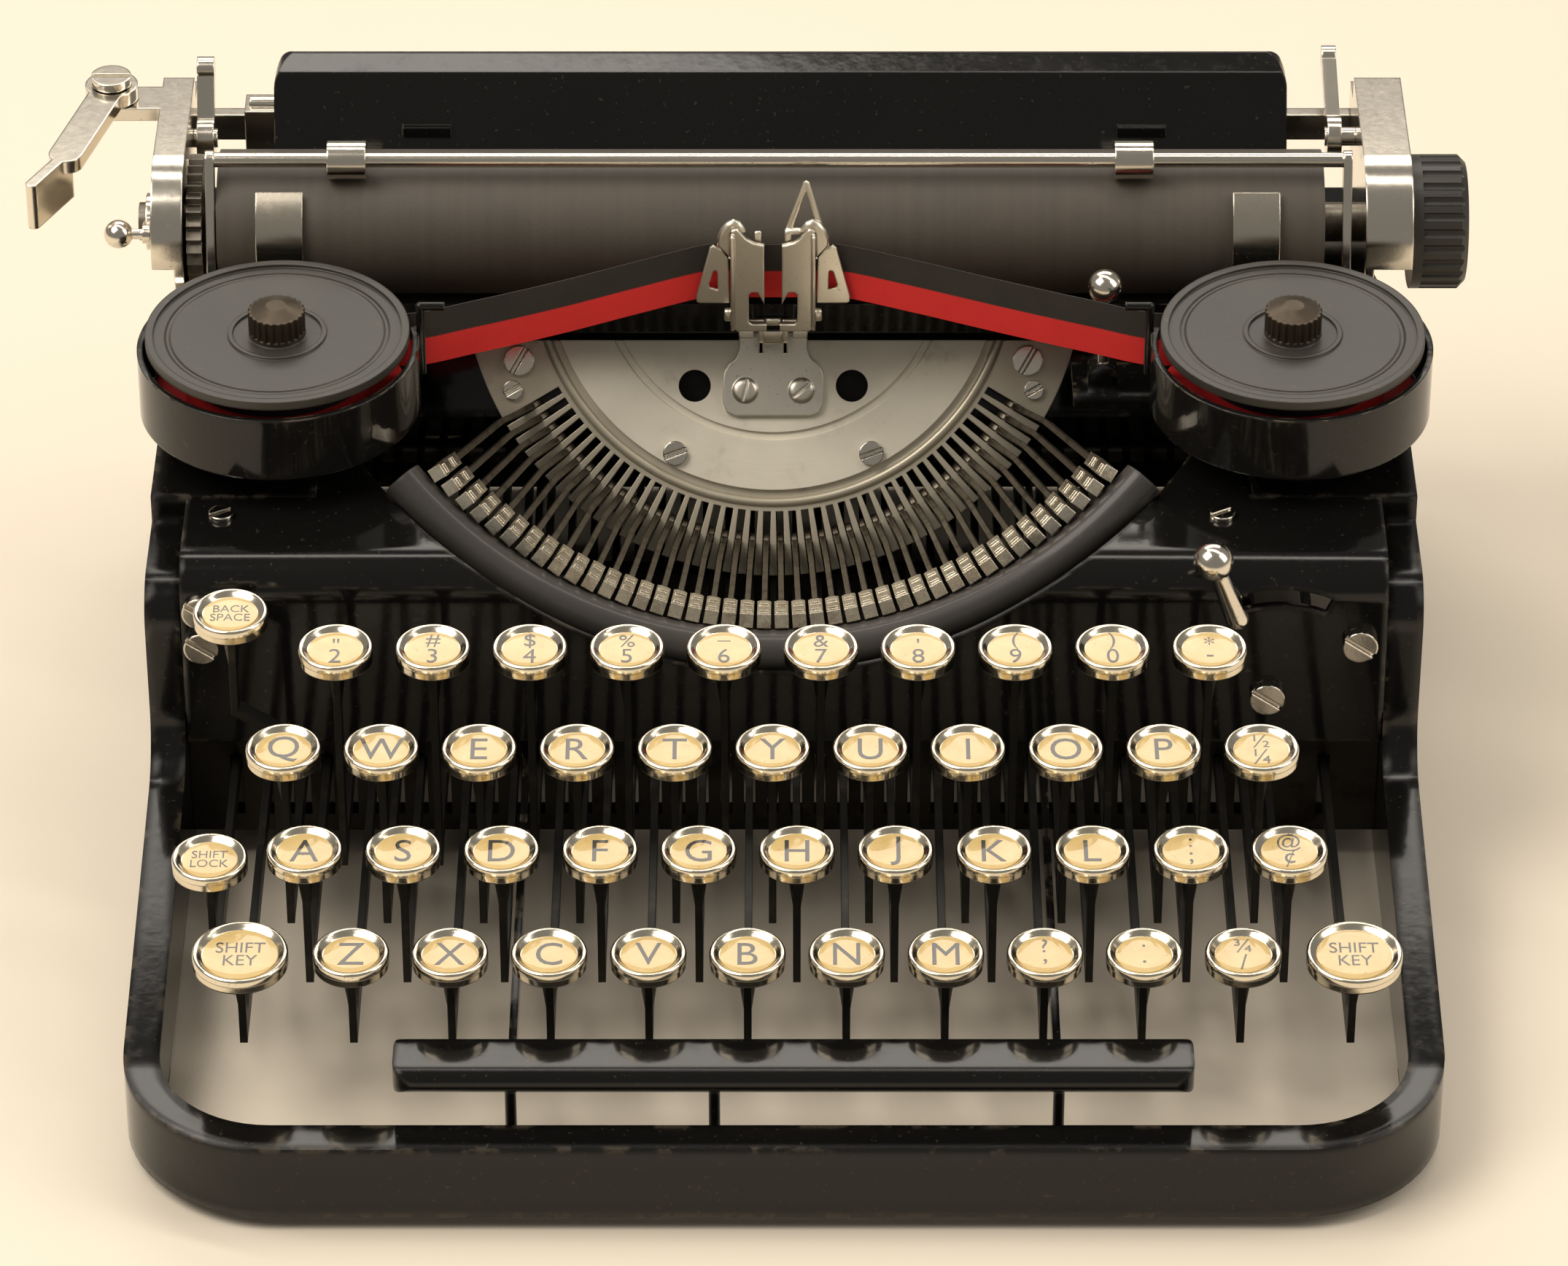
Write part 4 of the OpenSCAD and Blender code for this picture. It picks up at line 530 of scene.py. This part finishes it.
def model_turned(radius, base, steps):
    """A round piece of this radius: a cylinder as high as base, then steps of inset and rise, all in metres."""
    bpy.ops.object.select_all(action="DESELECT")
    bpy.ops.mesh.primitive_cylinder_add(vertices=48, radius=radius, depth=base, location=(0.0, 0.0, base / 2))
    piece = bpy.context.active_object
    bpy.ops.object.transform_apply(location=True)
    bpy.ops.object.mode_set(mode="EDIT")
    bpy.ops.mesh.select_mode(type="FACE")
    bpy.ops.mesh.select_all(action="DESELECT")
    face_up(piece)
    for inset, rise in steps:
        bpy.ops.mesh.inset(thickness=inset, depth=0.0)
        bpy.ops.transform.translate(value=(0.0, 0.0, rise))
    bpy.ops.object.mode_set(mode="OBJECT")
    bpy.ops.object.shade_smooth_by_angle(angle=math.radians(50.0))
    return piece


def model_lens(radius):
    """A lens of this radius with its lower face at the origin."""
    return model_turned(radius, LENS_BASE, [(share * radius, rise) for share, rise in LENS_STEPS])


def model_dish(radius):
    """A dished ring whose wall covers the solid's rim and ends level with it."""
    dish = model_turned(radius + 0.06 * MILLI, DISH_WALL * MILLI, [(i * MILLI, r * MILLI) for i, r in DISH_STEPS])
    dish.data.transform(Matrix.Translation((0.0, 0.0, -DISH_WALL * MILLI)))
    return dish


card_paper = card_finish("key_card")
ink = ink_finish("key_ink", (0.012, 0.01, 0.008), 0.4)
lens_rise = LENS_BASE + sum(rise for _, rise in LENS_STEPS)
key_lens, shift_lens = (model_lens((across / 2 - RING_EDGE) * MILLI) for across in (KEY_ACROSS, SHIFT_ACROSS))
key_dish, shift_dish = (model_dish(across / 2 * MILLI) for across in (KEY_ACROSS, SHIFT_ACROSS))
dish_finish = metal_finish("ring_nickel", (0.76, 0.7, 0.57), (0.55, 0.46, 0.31), 0.05, 0.12, 0.26, 0.0003)
print("lens stands", round(lens_rise * 1000, 2), "mm high")

# %% [markdown]
# Letters are text objects. A text is typed, made a mesh and only then put on its key, so that its place lies in
# its points. Each bank's lenses are joined to one piece and its letters to another, and both ride with the bank.

# %% Letters
KEY_TILT = Matrix.Rotation(math.radians(2.5), 4, "X")
DISH_FLOOR = sum(rise for _, rise in DISH_STEPS)
LETTER_SINK = 0.00012
LETTER_NARROW = 0.88


def key_place(x, y, top):
    """The middle of a key's rim, tilted as the key is."""
    return Matrix.Translation(at(x, y, top - 3.0)) @ KEY_TILT @ Matrix.Translation((0, 0, 3.0 * MILLI))


def put_copy(master, place):
    """A copy with a mesh of its own, moved to its place in the mesh."""
    copy = master.copy()
    copy.data = master.data.copy()
    copy.data.transform(place)
    bpy.context.scene.collection.objects.link(copy)
    return copy


def joined(pieces, name):
    """Joins pieces to one object."""
    bpy.ops.object.select_all(action="DESELECT")
    for piece in pieces:
        piece.select_set(True)
    bpy.context.view_layer.objects.active = pieces[0]
    bpy.ops.object.join()
    whole = bpy.context.active_object
    whole.name = name
    whole.data.name = name
    return whole


def typed(words, size, place, shift=(0.0, 0.0)):
    """A word as a flat mesh with a little thickness, centred on a place."""
    bpy.ops.object.select_all(action="DESELECT")
    bpy.ops.object.text_add()
    text = bpy.context.active_object
    text.data.body = words
    text.data.size = size * MILLI
    text.data.align_x = "CENTER"
    text.data.align_y = "CENTER"
    text.data.space_line = 0.85
    text.data.extrude = LETTER_SINK
    text.data.resolution_u = 4
    bpy.ops.object.convert(target="MESH")
    word = bpy.context.active_object
    middle = (Vector(word.bound_box[0]) + Vector(word.bound_box[6])) / 2
    lift = Vector((shift[0] * MILLI, shift[1] * MILLI, lens_rise - LETTER_SINK + 0.00001))
    word.data.transform(Matrix.Translation(-middle))
    word.data.transform(place @ Matrix.Translation(lift) @ Matrix.Diagonal((LETTER_NARROW, 1.0, 1.0, 1.0)))
    return word


def letters_for(legend, place, size):
    """One sign in the middle, or a lower and an upper sign."""
    if len(legend) == 1:
        return [typed(legend[0], size, place)]
    return [typed(legend[0], 0.66 * size, place, (0.0, -2.3)), typed(legend[1], 0.6 * size, place, (0.0, 2.4))]


def dress_keys(body, keys, lens, dish, size):
    """Puts dishes, lenses and letters on keys given as (x, y, top, legend)."""
    lenses, dishes, words = [], [], []
    for x, y, top, legend in keys:
        place = key_place(x, y, top)
        dishes.append(put_copy(dish, place))
        seat = place @ Matrix.Translation((0.0, 0.0, DISH_FLOOR * MILLI))
        lenses.append(put_copy(lens, seat))
        words += letters_for(legend, seat, size)
    cards = joined(lenses, body + "_cards")
    rings = joined(dishes, body + "_rings")
    signs = joined(words, body + "_letters")
    for piece, finish in ((cards, card_paper), (rings, dish_finish), (signs, ink)):
        piece.data.materials.clear()
        piece.data.materials.append(finish)
        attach(piece, body)
    print(body, "has", len(keys), "cards")


KEY_PITCH = 19.05
FIRST_LEVER = -97.5
ROW_START = [2, 0, 1, 3]
ROW_FRONT = [90.7, 71.65, 52.6, 33.55]
SAMPLE = 5
legends = [
    [("2", '"'), ("3", "#"), ("4", "$"), ("5", "%"), ("6", "_"), ("7", "&"), ("8", "'"), ("9", "("), ("0", ")"),
     ("-", "*")],
    [(c,) for c in "QWERTYUIOP"] + [("\u00bc", "\u00bd")],
    [(c,) for c in "ASDFGHJKL"] + [(";", ":"), ("\u00a2", "@")],
    [(c,) for c in "ZXCVBNM"] + [(",", "?"), (".", "."), ("/", "\u00be")],
]
LETTER_SIZE = 9.4
for row, bank in enumerate(bank_names):
    keys = []
    for k, legend in enumerate(legends[row]):
        x = FIRST_LEVER + (ROW_START[row] + 4 * k) * KEY_PITCH / 4
        key = (x, ROW_FRONT[row], ROW_TOP[row], legend)
        if bank == "upper_key_bank" and k == SAMPLE:
            dress_keys("sample_key", [key], key_lens, key_dish, LETTER_SIZE)
        else:
            keys.append(key)
    dress_keys(bank, keys, key_lens, key_dish, LETTER_SIZE)
shift_places = [(-104.5, 33.55, 38.0, ("SHIFT\nKEY",)), (109.6, 33.55, 38.0, ("SHIFT\nKEY",))]
dress_keys("shift_keys", shift_places, shift_lens, shift_dish, 4.4)
dress_keys("shift_lock_key", [(-111.2, 52.6, 46.5, ("SHIFT\nLOCK",))], key_lens, key_dish, 3.2)
dress_keys("backspace_key", [(-108.6, 95.0, 75.0, ("BACK\nSPACE",))], key_lens, key_dish, 3.2)
for master in (key_lens, shift_lens, key_dish, shift_dish):
    bpy.data.objects.remove(master)

# %% [markdown]
# The ribbon is a cotton band, black above and red below. It leaves each spool, passes out of the cup and runs to the
# carrier, behind which it stands at the printing point. It is made as two halves that meet behind the carrier, which
# lifts the ribbon's middle; each half curves from the machine up to the carrier. A plane is cut into strips along its
# length, and its points are then carried along the route.

# %% Ribbon
RIBBON_TALL = 12.7


def ribbon_finish(name):
    material, shader, place = start_finish(name)
    strip = place.node("UVMap", {"uv_map": "strip"})
    height = parts_of(strip)[1]
    warp = strip.node("TexWave", {"wave_type": "BANDS", "bands_direction": "X"}, out="Fac",
                      Vector=strip, Scale=160.0, Distortion=0.6, Detail=1.0)
    weft = strip.node("TexWave", {"wave_type": "BANDS", "bands_direction": "Y"}, out="Fac",
                      Vector=strip, Scale=14.0, Distortion=0.4, Detail=1.0)
    weave = warp * weft
    upper = height.above(0.485, 0.515)
    faded = grain(place, 90.0, 5.0)
    red = colour_mix(faded, (0.88, 0.034, 0.028), (0.68, 0.024, 0.022))
    black = colour_mix(faded, (0.024, 0.02, 0.016), (0.046, 0.038, 0.029))
    bump = place.node("Bump", Strength=0.35, Distance=0.0001, Height=weave)
    fill(shader, Base_Color=colour_mix(upper, red, black), Roughness=weave.between(0.85, 0.65), Normal=bump)
    return material


def route(points, steps):
    """A smooth line through points, as evenly spaced places."""
    line = []
    for k in range(len(points) - 1):
        before = points[max(0, k - 1)]
        after = points[min(len(points) - 1, k + 2)]
        a, b = points[k], points[k + 1]
        for i in range(steps):
            t = i / steps
            tangent_a, tangent_b = (b - before) * 0.5, (after - a) * 0.5
            line.append(a * (2 * t**3 - 3 * t**2 + 1) + tangent_a * (t**3 - 2 * t**2 + t)
                        + b * (3 * t**2 - 2 * t**3) + tangent_b * (t**3 - t**2))
    line.append(points[-1])
    return line


def ribbon_half(name, points):
    """One half of the ribbon along points of its middle line."""
    line = route(points, 14)
    length = sum((b - a).length for a, b in zip(line, line[1:]))
    rows = 8
    bpy.ops.object.select_all(action="DESELECT")
    bpy.ops.mesh.primitive_grid_add(x_subdivisions=len(line) - 1, y_subdivisions=rows, size=2.0)
    half = bpy.context.active_object
    half.name = name
    half.data.name = name
    half.data.uv_layers[0].name = "strip"
    for vertex in half.data.vertices:
        step = round((vertex.co.x + 1.0) / 2.0 * (len(line) - 1))
        share = (vertex.co.y + 1.0) / 2.0
        vertex.co = line[step] + Vector((0.0, 0.0, (share - 0.5) * RIBBON_TALL * MILLI))
    half.data.update()
    only(half)
    bpy.ops.object.mode_set(mode="EDIT")
    bpy.ops.mesh.select_all(action="SELECT")
    bpy.ops.mesh.normals_make_consistent(inside=False)
    bpy.ops.object.mode_set(mode="OBJECT")
    wall = half.modifiers.new("cloth", "SOLIDIFY")
    wall.thickness = 0.00018
    wall.offset = 0.0
    bpy.ops.object.modifier_apply(modifier=wall.name)
    bpy.ops.object.shade_smooth_by_angle(angle=math.radians(50.0))
    half.data.materials.append(inked_cloth)
    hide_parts("ribbon")
    print(name, "is", round(length * 1000, 1), "mm long")
    return half


inked_cloth = ribbon_finish("inked_ribbon")
MIDDLE = -2.05
left_points = [at(-94.4, 180.0, 89.1), at(-85.4, 176.0, 89.1), at(-76.5, 172.0, 89.1), at(-63, 176.2, 89.5),
               at(-46, 182.4, 90.2), at(-30, 188.6, 91.2), at(-16.3, 193.4, 92.1), at(-9, 193.5, 92.1),
               at(MIDDLE, 193.5, 92.1)]
right_points = [at(94.8, 180.0, 89.1), at(85.6, 176.0, 89.1), at(76.5, 172.0, 89.1), at(62, 176.6, 89.5),
                at(44, 183.0, 90.2), at(27, 188.9, 91.2), at(12.2, 193.4, 92.1), at(5, 193.5, 92.1),
                at(MIDDLE, 193.5, 92.1)]
left_ribbon = ribbon_half("ribbon_left", left_points)
right_ribbon = ribbon_half("ribbon_right", right_points)
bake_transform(left_ribbon)
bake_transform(right_ribbon)

# %% [markdown]
# Two pieces at the printing point are cut and bent from sheet metal. Sheet metal is quickest to draw as a flat closed
# curve: the curve is filled, gets its thickness and a small chamfer on its edges, and becomes a mesh, which is then
# stood up at its place. Short bars are cubes stretched between two corners, with their edges bevelled.

# %% Sheet metal
BASKET_X = -2.25


def upright(y):
    """Stands a drawing of x and z up at a depth, in front of the basket's middle."""
    return Matrix.Translation(at(BASKET_X, y, 0.0)) @ Matrix.Rotation(math.radians(90.0), 4, "X")


def sideways(x):
    """Stands a drawing of depth and height up at a place across the basket."""
    turn = Matrix(((0, 0, 1, 0), (1, 0, 0, 0), (0, 1, 0, 0), (0, 0, 0, 1)))
    return Matrix.Translation(at(BASKET_X + x, 0.0, 0.0)) @ turn


ON_SEGMENT = Matrix.Translation(DISC_CENTRE) @ Matrix.Rotation(DISC_TILT, 4, "X")


def cut_sheet(outlines, thick, place, edge=0.12):
    """A sheet cut to closed outlines in millimetres, the first the outer one, with its middle at a place."""
    bpy.ops.object.select_all(action="DESELECT")
    drawing = bpy.data.curves.new("drawing", "CURVE")
    drawing.dimensions = "2D"
    drawing.fill_mode = "BOTH"
    drawing.extrude = (thick / 2 - edge) * MILLI
    drawing.bevel_depth = edge * MILLI
    drawing.bevel_resolution = 0
    drawing.offset = -edge * MILLI
    for outline in outlines:
        line = drawing.splines.new("POLY")
        line.points.add(len(outline) - 1)
        for point, (x, y) in zip(line.points, outline):
            point.co = (x * MILLI, y * MILLI, 0.0, 1.0)
        line.use_cyclic_u = True
    piece = bpy.data.objects.new("sheet", drawing)
    bpy.context.scene.collection.objects.link(piece)
    only(piece)
    bpy.ops.object.convert(target="MESH")
    piece = bpy.context.active_object
    piece.data.transform(place)
    bpy.ops.object.mode_set(mode="EDIT")
    bpy.ops.mesh.select_all(action="SELECT")
    bpy.ops.mesh.remove_doubles(threshold=1e-6)
    bpy.ops.mesh.normals_make_consistent(inside=False)
    bpy.ops.object.mode_set(mode="OBJECT")
    bpy.ops.object.shade_smooth_by_angle(angle=math.radians(35.0))
    return piece


def mirrored(half):
    """An outline from its right half, which runs from the middle line and back to it."""
    return half + [(-x, y) for x, y in reversed(half)]


def on_side(outline, side):
    """A right half, or its mirror image where side is -1."""
    return [(side * x, z) for x, z in outline]


def bar_box(low, high, place):
    """A bar between two corners of a drawing, with its edges broken."""
    bpy.ops.object.select_all(action="DESELECT")
    bpy.ops.mesh.primitive_cube_add(size=1.0)
    bar = bpy.context.active_object
    spans = [(b - a) * MILLI for a, b in zip(low, high)]
    middle = [(a + b) / 2 * MILLI for a, b in zip(low, high)]
    bar.data.transform(Matrix.Translation(middle) @ Matrix.Diagonal((*spans, 1.0)))
    bpy.ops.object.mode_set(mode="EDIT")
    bpy.ops.mesh.select_all(action="SELECT")
    bpy.ops.mesh.bevel(offset=0.25 * min(spans), segments=2, affect="EDGES")
    bpy.ops.object.mode_set(mode="OBJECT")
    bar.data.transform(place)
    bpy.ops.object.shade_smooth_by_angle(angle=math.radians(50.0))
    return bar


print("sheet metal tools ready")

# %% [markdown]
# The type guide is a plate with a slot that takes the type bar and a window under it. Its edges are folded forward,
# and its foot is screwed to the segment. A type bar at the printing point passes the plate's middle, so the two
# halves are tied together by a small bridge behind the bar. The screws are turned heads with a slot cut by a boolean.

# %% Slotted screw
HEAD_WALL = 0.5
HEAD_STEPS = ((0.25, 0.25), (0.5, 0.18), (0.7, 0.1))
SLOT_WIDE, SLOT_TALL, SLOT_MIDDLE = 0.65, 0.8, 1.05


def model_screw(radius, turn, place):
    """A slotted round head."""
    head = model_turned(radius * MILLI, HEAD_WALL * MILLI, [(i * MILLI, r * MILLI) for i, r in HEAD_STEPS])
    bpy.ops.object.select_all(action="DESELECT")
    bpy.ops.mesh.primitive_cube_add(size=1.0)
    cutter = bpy.context.active_object
    cutter.data.transform(Matrix.Rotation(turn, 4, "Z") @ Matrix.Translation((0.0, 0.0, SLOT_MIDDLE * MILLI))
                          @ Matrix.Diagonal((2.4 * radius * MILLI, SLOT_WIDE * MILLI, SLOT_TALL * MILLI, 1.0)))
    slot = head.modifiers.new("slot", "BOOLEAN")
    slot.operation = "DIFFERENCE"
    slot.object = cutter
    only(head)
    bpy.ops.object.modifier_apply(modifier=slot.name)
    bpy.data.objects.remove(cutter)
    head.data.transform(place)
    bpy.ops.object.shade_smooth_by_angle(angle=math.radians(40.0))
    return head


print("screw head is", HEAD_WALL + sum(rise for _, rise in HEAD_STEPS), "mm high")

# %% Type guide
GUIDE_Y = 190.4
FOOT_LIFT = 4.3
PLATE = 1.2
ARM_WIDE = 3.0
SCREW_RADIUS = 2.6
guide_half = [
    (1.35, 79.6), (7.3, 79.6), (8.1, 80.2), (8.6, 81.0), (8.6, 103.9), (7.9, 104.2), (7.2, 104.1), (6.5, 103.2),
    (5.6, 102.0), (4.2, 101.0), (2.6, 100.5), (1.8, 100.4), (1.8, 86.2), (3.2, 89.1),
    (4.4, 89.1), (5.0, 88.5), (5.0, 81.9), (4.4, 81.3), (1.35, 81.3)]
foot_outline = mirrored([
    (0.2, -13.2), (7.2, -13.2), (7.2, -18.0), (7.9, -19.8), (9.4, -21.0), (10.4, -22.8), (10.6, -25.0), (10.6, -29.0),
    (9.8, -31.2), (8.0, -32.0), (0.2, -32.0)])
arm_outline = [(190.0, 79.0), (190.7, 80.2), (210.4, 66.6), (209.9, 65.2)]

AT_GUIDE = upright(GUIDE_Y)
AT_FOOT = ON_SEGMENT @ Matrix.Translation((0.0, 0.0, FOOT_LIFT * MILLI))
guide_pieces = [bar_box((-1.75, 79.7, -2.4), (1.75, 81.2, -1.5), AT_GUIDE), cut_sheet([foot_outline], PLATE, AT_FOOT)]
for side in (-1, 1):
    tie, fold, ear, arm, screw = (side * x for x in (1.55, 8.35, 9.2, 5.6, 5.9))
    guide_pieces += [
        cut_sheet([on_side(guide_half, side)], PLATE, AT_GUIDE),
        bar_box((tie - 0.2, 79.7, -2.4), (tie + 0.2, 81.2, 0.3), AT_GUIDE),
        bar_box((fold - 0.35, 80.6, 0.2), (fold + 0.35, 103.2, 1.9), AT_GUIDE),
        bar_box((ear - 0.9, 82.2, -0.7), (ear + 0.9, 84.8, 0.9), AT_GUIDE),
        cut_sheet([arm_outline], ARM_WIDE, sideways(arm)),
        model_screw(SCREW_RADIUS, math.radians(78.0 if side < 0 else 40.0),
                    AT_FOOT @ Matrix.Translation((screw * MILLI, -26.6 * MILLI, 0.5 * MILLI))),
    ]
guide_plate = joined(guide_pieces, "type_guide_plate")
guide_plate.data.materials.clear()
guide_plate.data.materials.append(nickel_satin)
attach(guide_plate, "machine")
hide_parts("type_guide")
print("type guide has", len(guide_plate.data.polygons), "faces")

# %% [markdown]
# The ribbon carrier lifts the ribbon into the way of the type. It has a flag at each side, which the ribbon passes
# behind, a hook bent over the guide's shoulder, two small prongs, and a pointed holder that keeps cards against the
# platen. It is drawn on one side and made again for the other, and all its strips become one piece.

# %% Ribbon carrier
CARRIER_Y = 192.0
flag_outline = [(9.0, 85.4), (15.2, 85.4), (15.8, 85.8), (15.9, 87.0), (13.0, 98.8), (12.3, 99.3), (9.2, 97.4)]
flag_window = [(11.4, 88.6), (13.0, 89.2), (13.2, 89.9), (12.3, 93.1), (11.8, 93.3), (11.5, 92.9)]
hook_outline = [(8.8, 96.0), (11.5, 99.4), (11.5, 101.2), (10.8, 103.2), (9.6, 104.8), (8.2, 105.5), (6.8, 105.0),
                (5.8, 103.6), (5.6, 102.6), (6.4, 102.3), (7.2, 103.0), (8.0, 103.1), (8.5, 102.3), (8.6, 96.0)]
leg_outline = [(1.9, 80.1), (8.8, 80.1), (8.8, 97.6), (6.0, 97.6), (6.0, 81.2), (1.9, 81.2)]
point_outline = [(2.4, 102.4), (6.2, 114.0), (6.8, 114.4), (7.4, 114.0), (10.6, 102.4)]
point_window = [(4.0, 102.9), (6.7, 111.6), (9.1, 102.9)]
AT_CARRIER = upright(CARRIER_Y)
STRIP = 0.8
carrier_pieces = []
for side in (-1, 1):
    block, prong, rung = (side * x for x in (2.5, 3.1, 4.9))
    carrier_pieces += [
        cut_sheet([on_side(flag_outline, side), on_side(flag_window, side)], STRIP, AT_CARRIER),
        cut_sheet([on_side(hook_outline, side)], 2 * STRIP, upright(CARRIER_Y - 0.1), 0.5),
        cut_sheet([on_side(leg_outline, side)], STRIP, AT_CARRIER),
        bar_box((block - 0.6, 73.0, -0.4), (block + 0.6, 80.6, 0.4), AT_CARRIER),
        bar_box((block - 0.6, 73.0, -4.4), (block + 0.6, 76.0, 0.4), AT_CARRIER),
        bar_box((prong - 0.7, 97.0, -0.4), (prong + 0.7, 102.6, 0.4), AT_CARRIER),
        bar_box((rung - 2.5, 96.4, -0.4), (rung + 2.5, 97.4, 0.4), AT_CARRIER),
    ]
carrier_pieces += [
    bar_box((-3.1, 73.0, -4.4), (3.1, 76.0, -3.2), AT_CARRIER),
    cut_sheet([point_outline, point_window], 0.7, upright(CARRIER_Y + 0.7), 0.25),
    bar_box((2.4, 101.8, -1.0), (10.6, 103.0, 0.3), AT_CARRIER),
]
carrier = joined(carrier_pieces, "ribbon_carrier")
carrier.data.materials.clear()
carrier.data.materials.append(nickel_satin)
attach(carrier, "ribbon_vibrator")
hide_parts("ribbon_vibrator")
print("ribbon carrier has", len(carrier.data.polygons), "faces")

# %% [markdown]
# The machine stands on a plain pale floor, a large plane a hair below the feet. It isn't part of the machine.

# %% Floor
FLOOR_SIZE = 6.0
FLOOR_DROP = 0.0002
bpy.ops.object.select_all(action="DESELECT")
bpy.ops.mesh.primitive_plane_add(size=FLOOR_SIZE, location=(0.0, 0.0, -FLOOR_DROP))
floor = bpy.context.active_object
floor.name = "floor"
bpy.ops.object.transform_apply(location=True)
floor_material, floor_shader, floor_place = start_finish("pale_floor")
floor_tone = colour_mix(grain(floor_place, 3.0), (0.74, 0.66, 0.54), (0.78, 0.7, 0.58))
fill(floor_shader, Base_Color=floor_tone, Roughness=0.9)
floor.data.materials.append(floor_material)
print("floor laid")

# %% [markdown]
# Soft studio light: a wide lamp above and to the left for shape, a weaker one from the right, one from behind, a long
# narrow one overhead that draws lines of light on the enamel, and an even sky.

# %% Light
WARM = (1.0, 0.93, 0.84)
MACHINE_MIDDLE = Vector((0.0, 0.0, 0.05))


def lamp(name, place, size, power):
    """A rectangular lamp that faces the machine."""
    light = bpy.data.lights.new(name, "AREA")
    light.shape = "RECTANGLE"
    light.size, light.size_y = size
    light.energy = power
    light.color = WARM
    holder = bpy.data.objects.new(name, light)
    holder.location = place
    holder.rotation_euler = (MACHINE_MIDDLE - Vector(place)).to_track_quat("-Z", "Y").to_euler()
    bpy.context.scene.collection.objects.link(holder)


lamp("top_left", (-0.7, -0.25, 1.1), (0.8, 0.8), 14.0)
lamp("right", (0.95, -0.2, 0.7), (0.5, 0.8), 5.0)
lamp("back", (0.0, 0.9, 0.9), (1.2, 0.4), 6.0)
lamp("strip", (0.1, 0.25, 1.3), (1.5, 0.12), 5.0)
world = bpy.data.worlds.new("sky")
bpy.context.scene.world = world
world.use_nodes = True
world.node_tree.nodes["Background"].inputs["Color"].default_value = (0.95, 0.9, 0.82, 1.0)
world.node_tree.nodes["Background"].inputs["Strength"].default_value = 0.25
bpy.context.scene.view_settings.view_transform = "Standard"
print("lit")

# %% [markdown]
# The camera looks down at the keyboard from the typist's side with a long lens.

# %% Camera
camera_data = bpy.data.cameras.new("camera")
camera_data.sensor_fit = "HORIZONTAL"
camera_data.sensor_width = 36.0
camera_data.lens = 163.9
camera = bpy.data.objects.new("camera", camera_data)
camera.location = at(0.0, -1054.476, 874.844)
camera.rotation_euler = (math.radians(55.0), 0.0, 0.0)
bpy.context.scene.collection.objects.link(camera)
bpy.context.scene.camera = camera
print("camera at", tuple(round(v, 3) for v in camera.location))
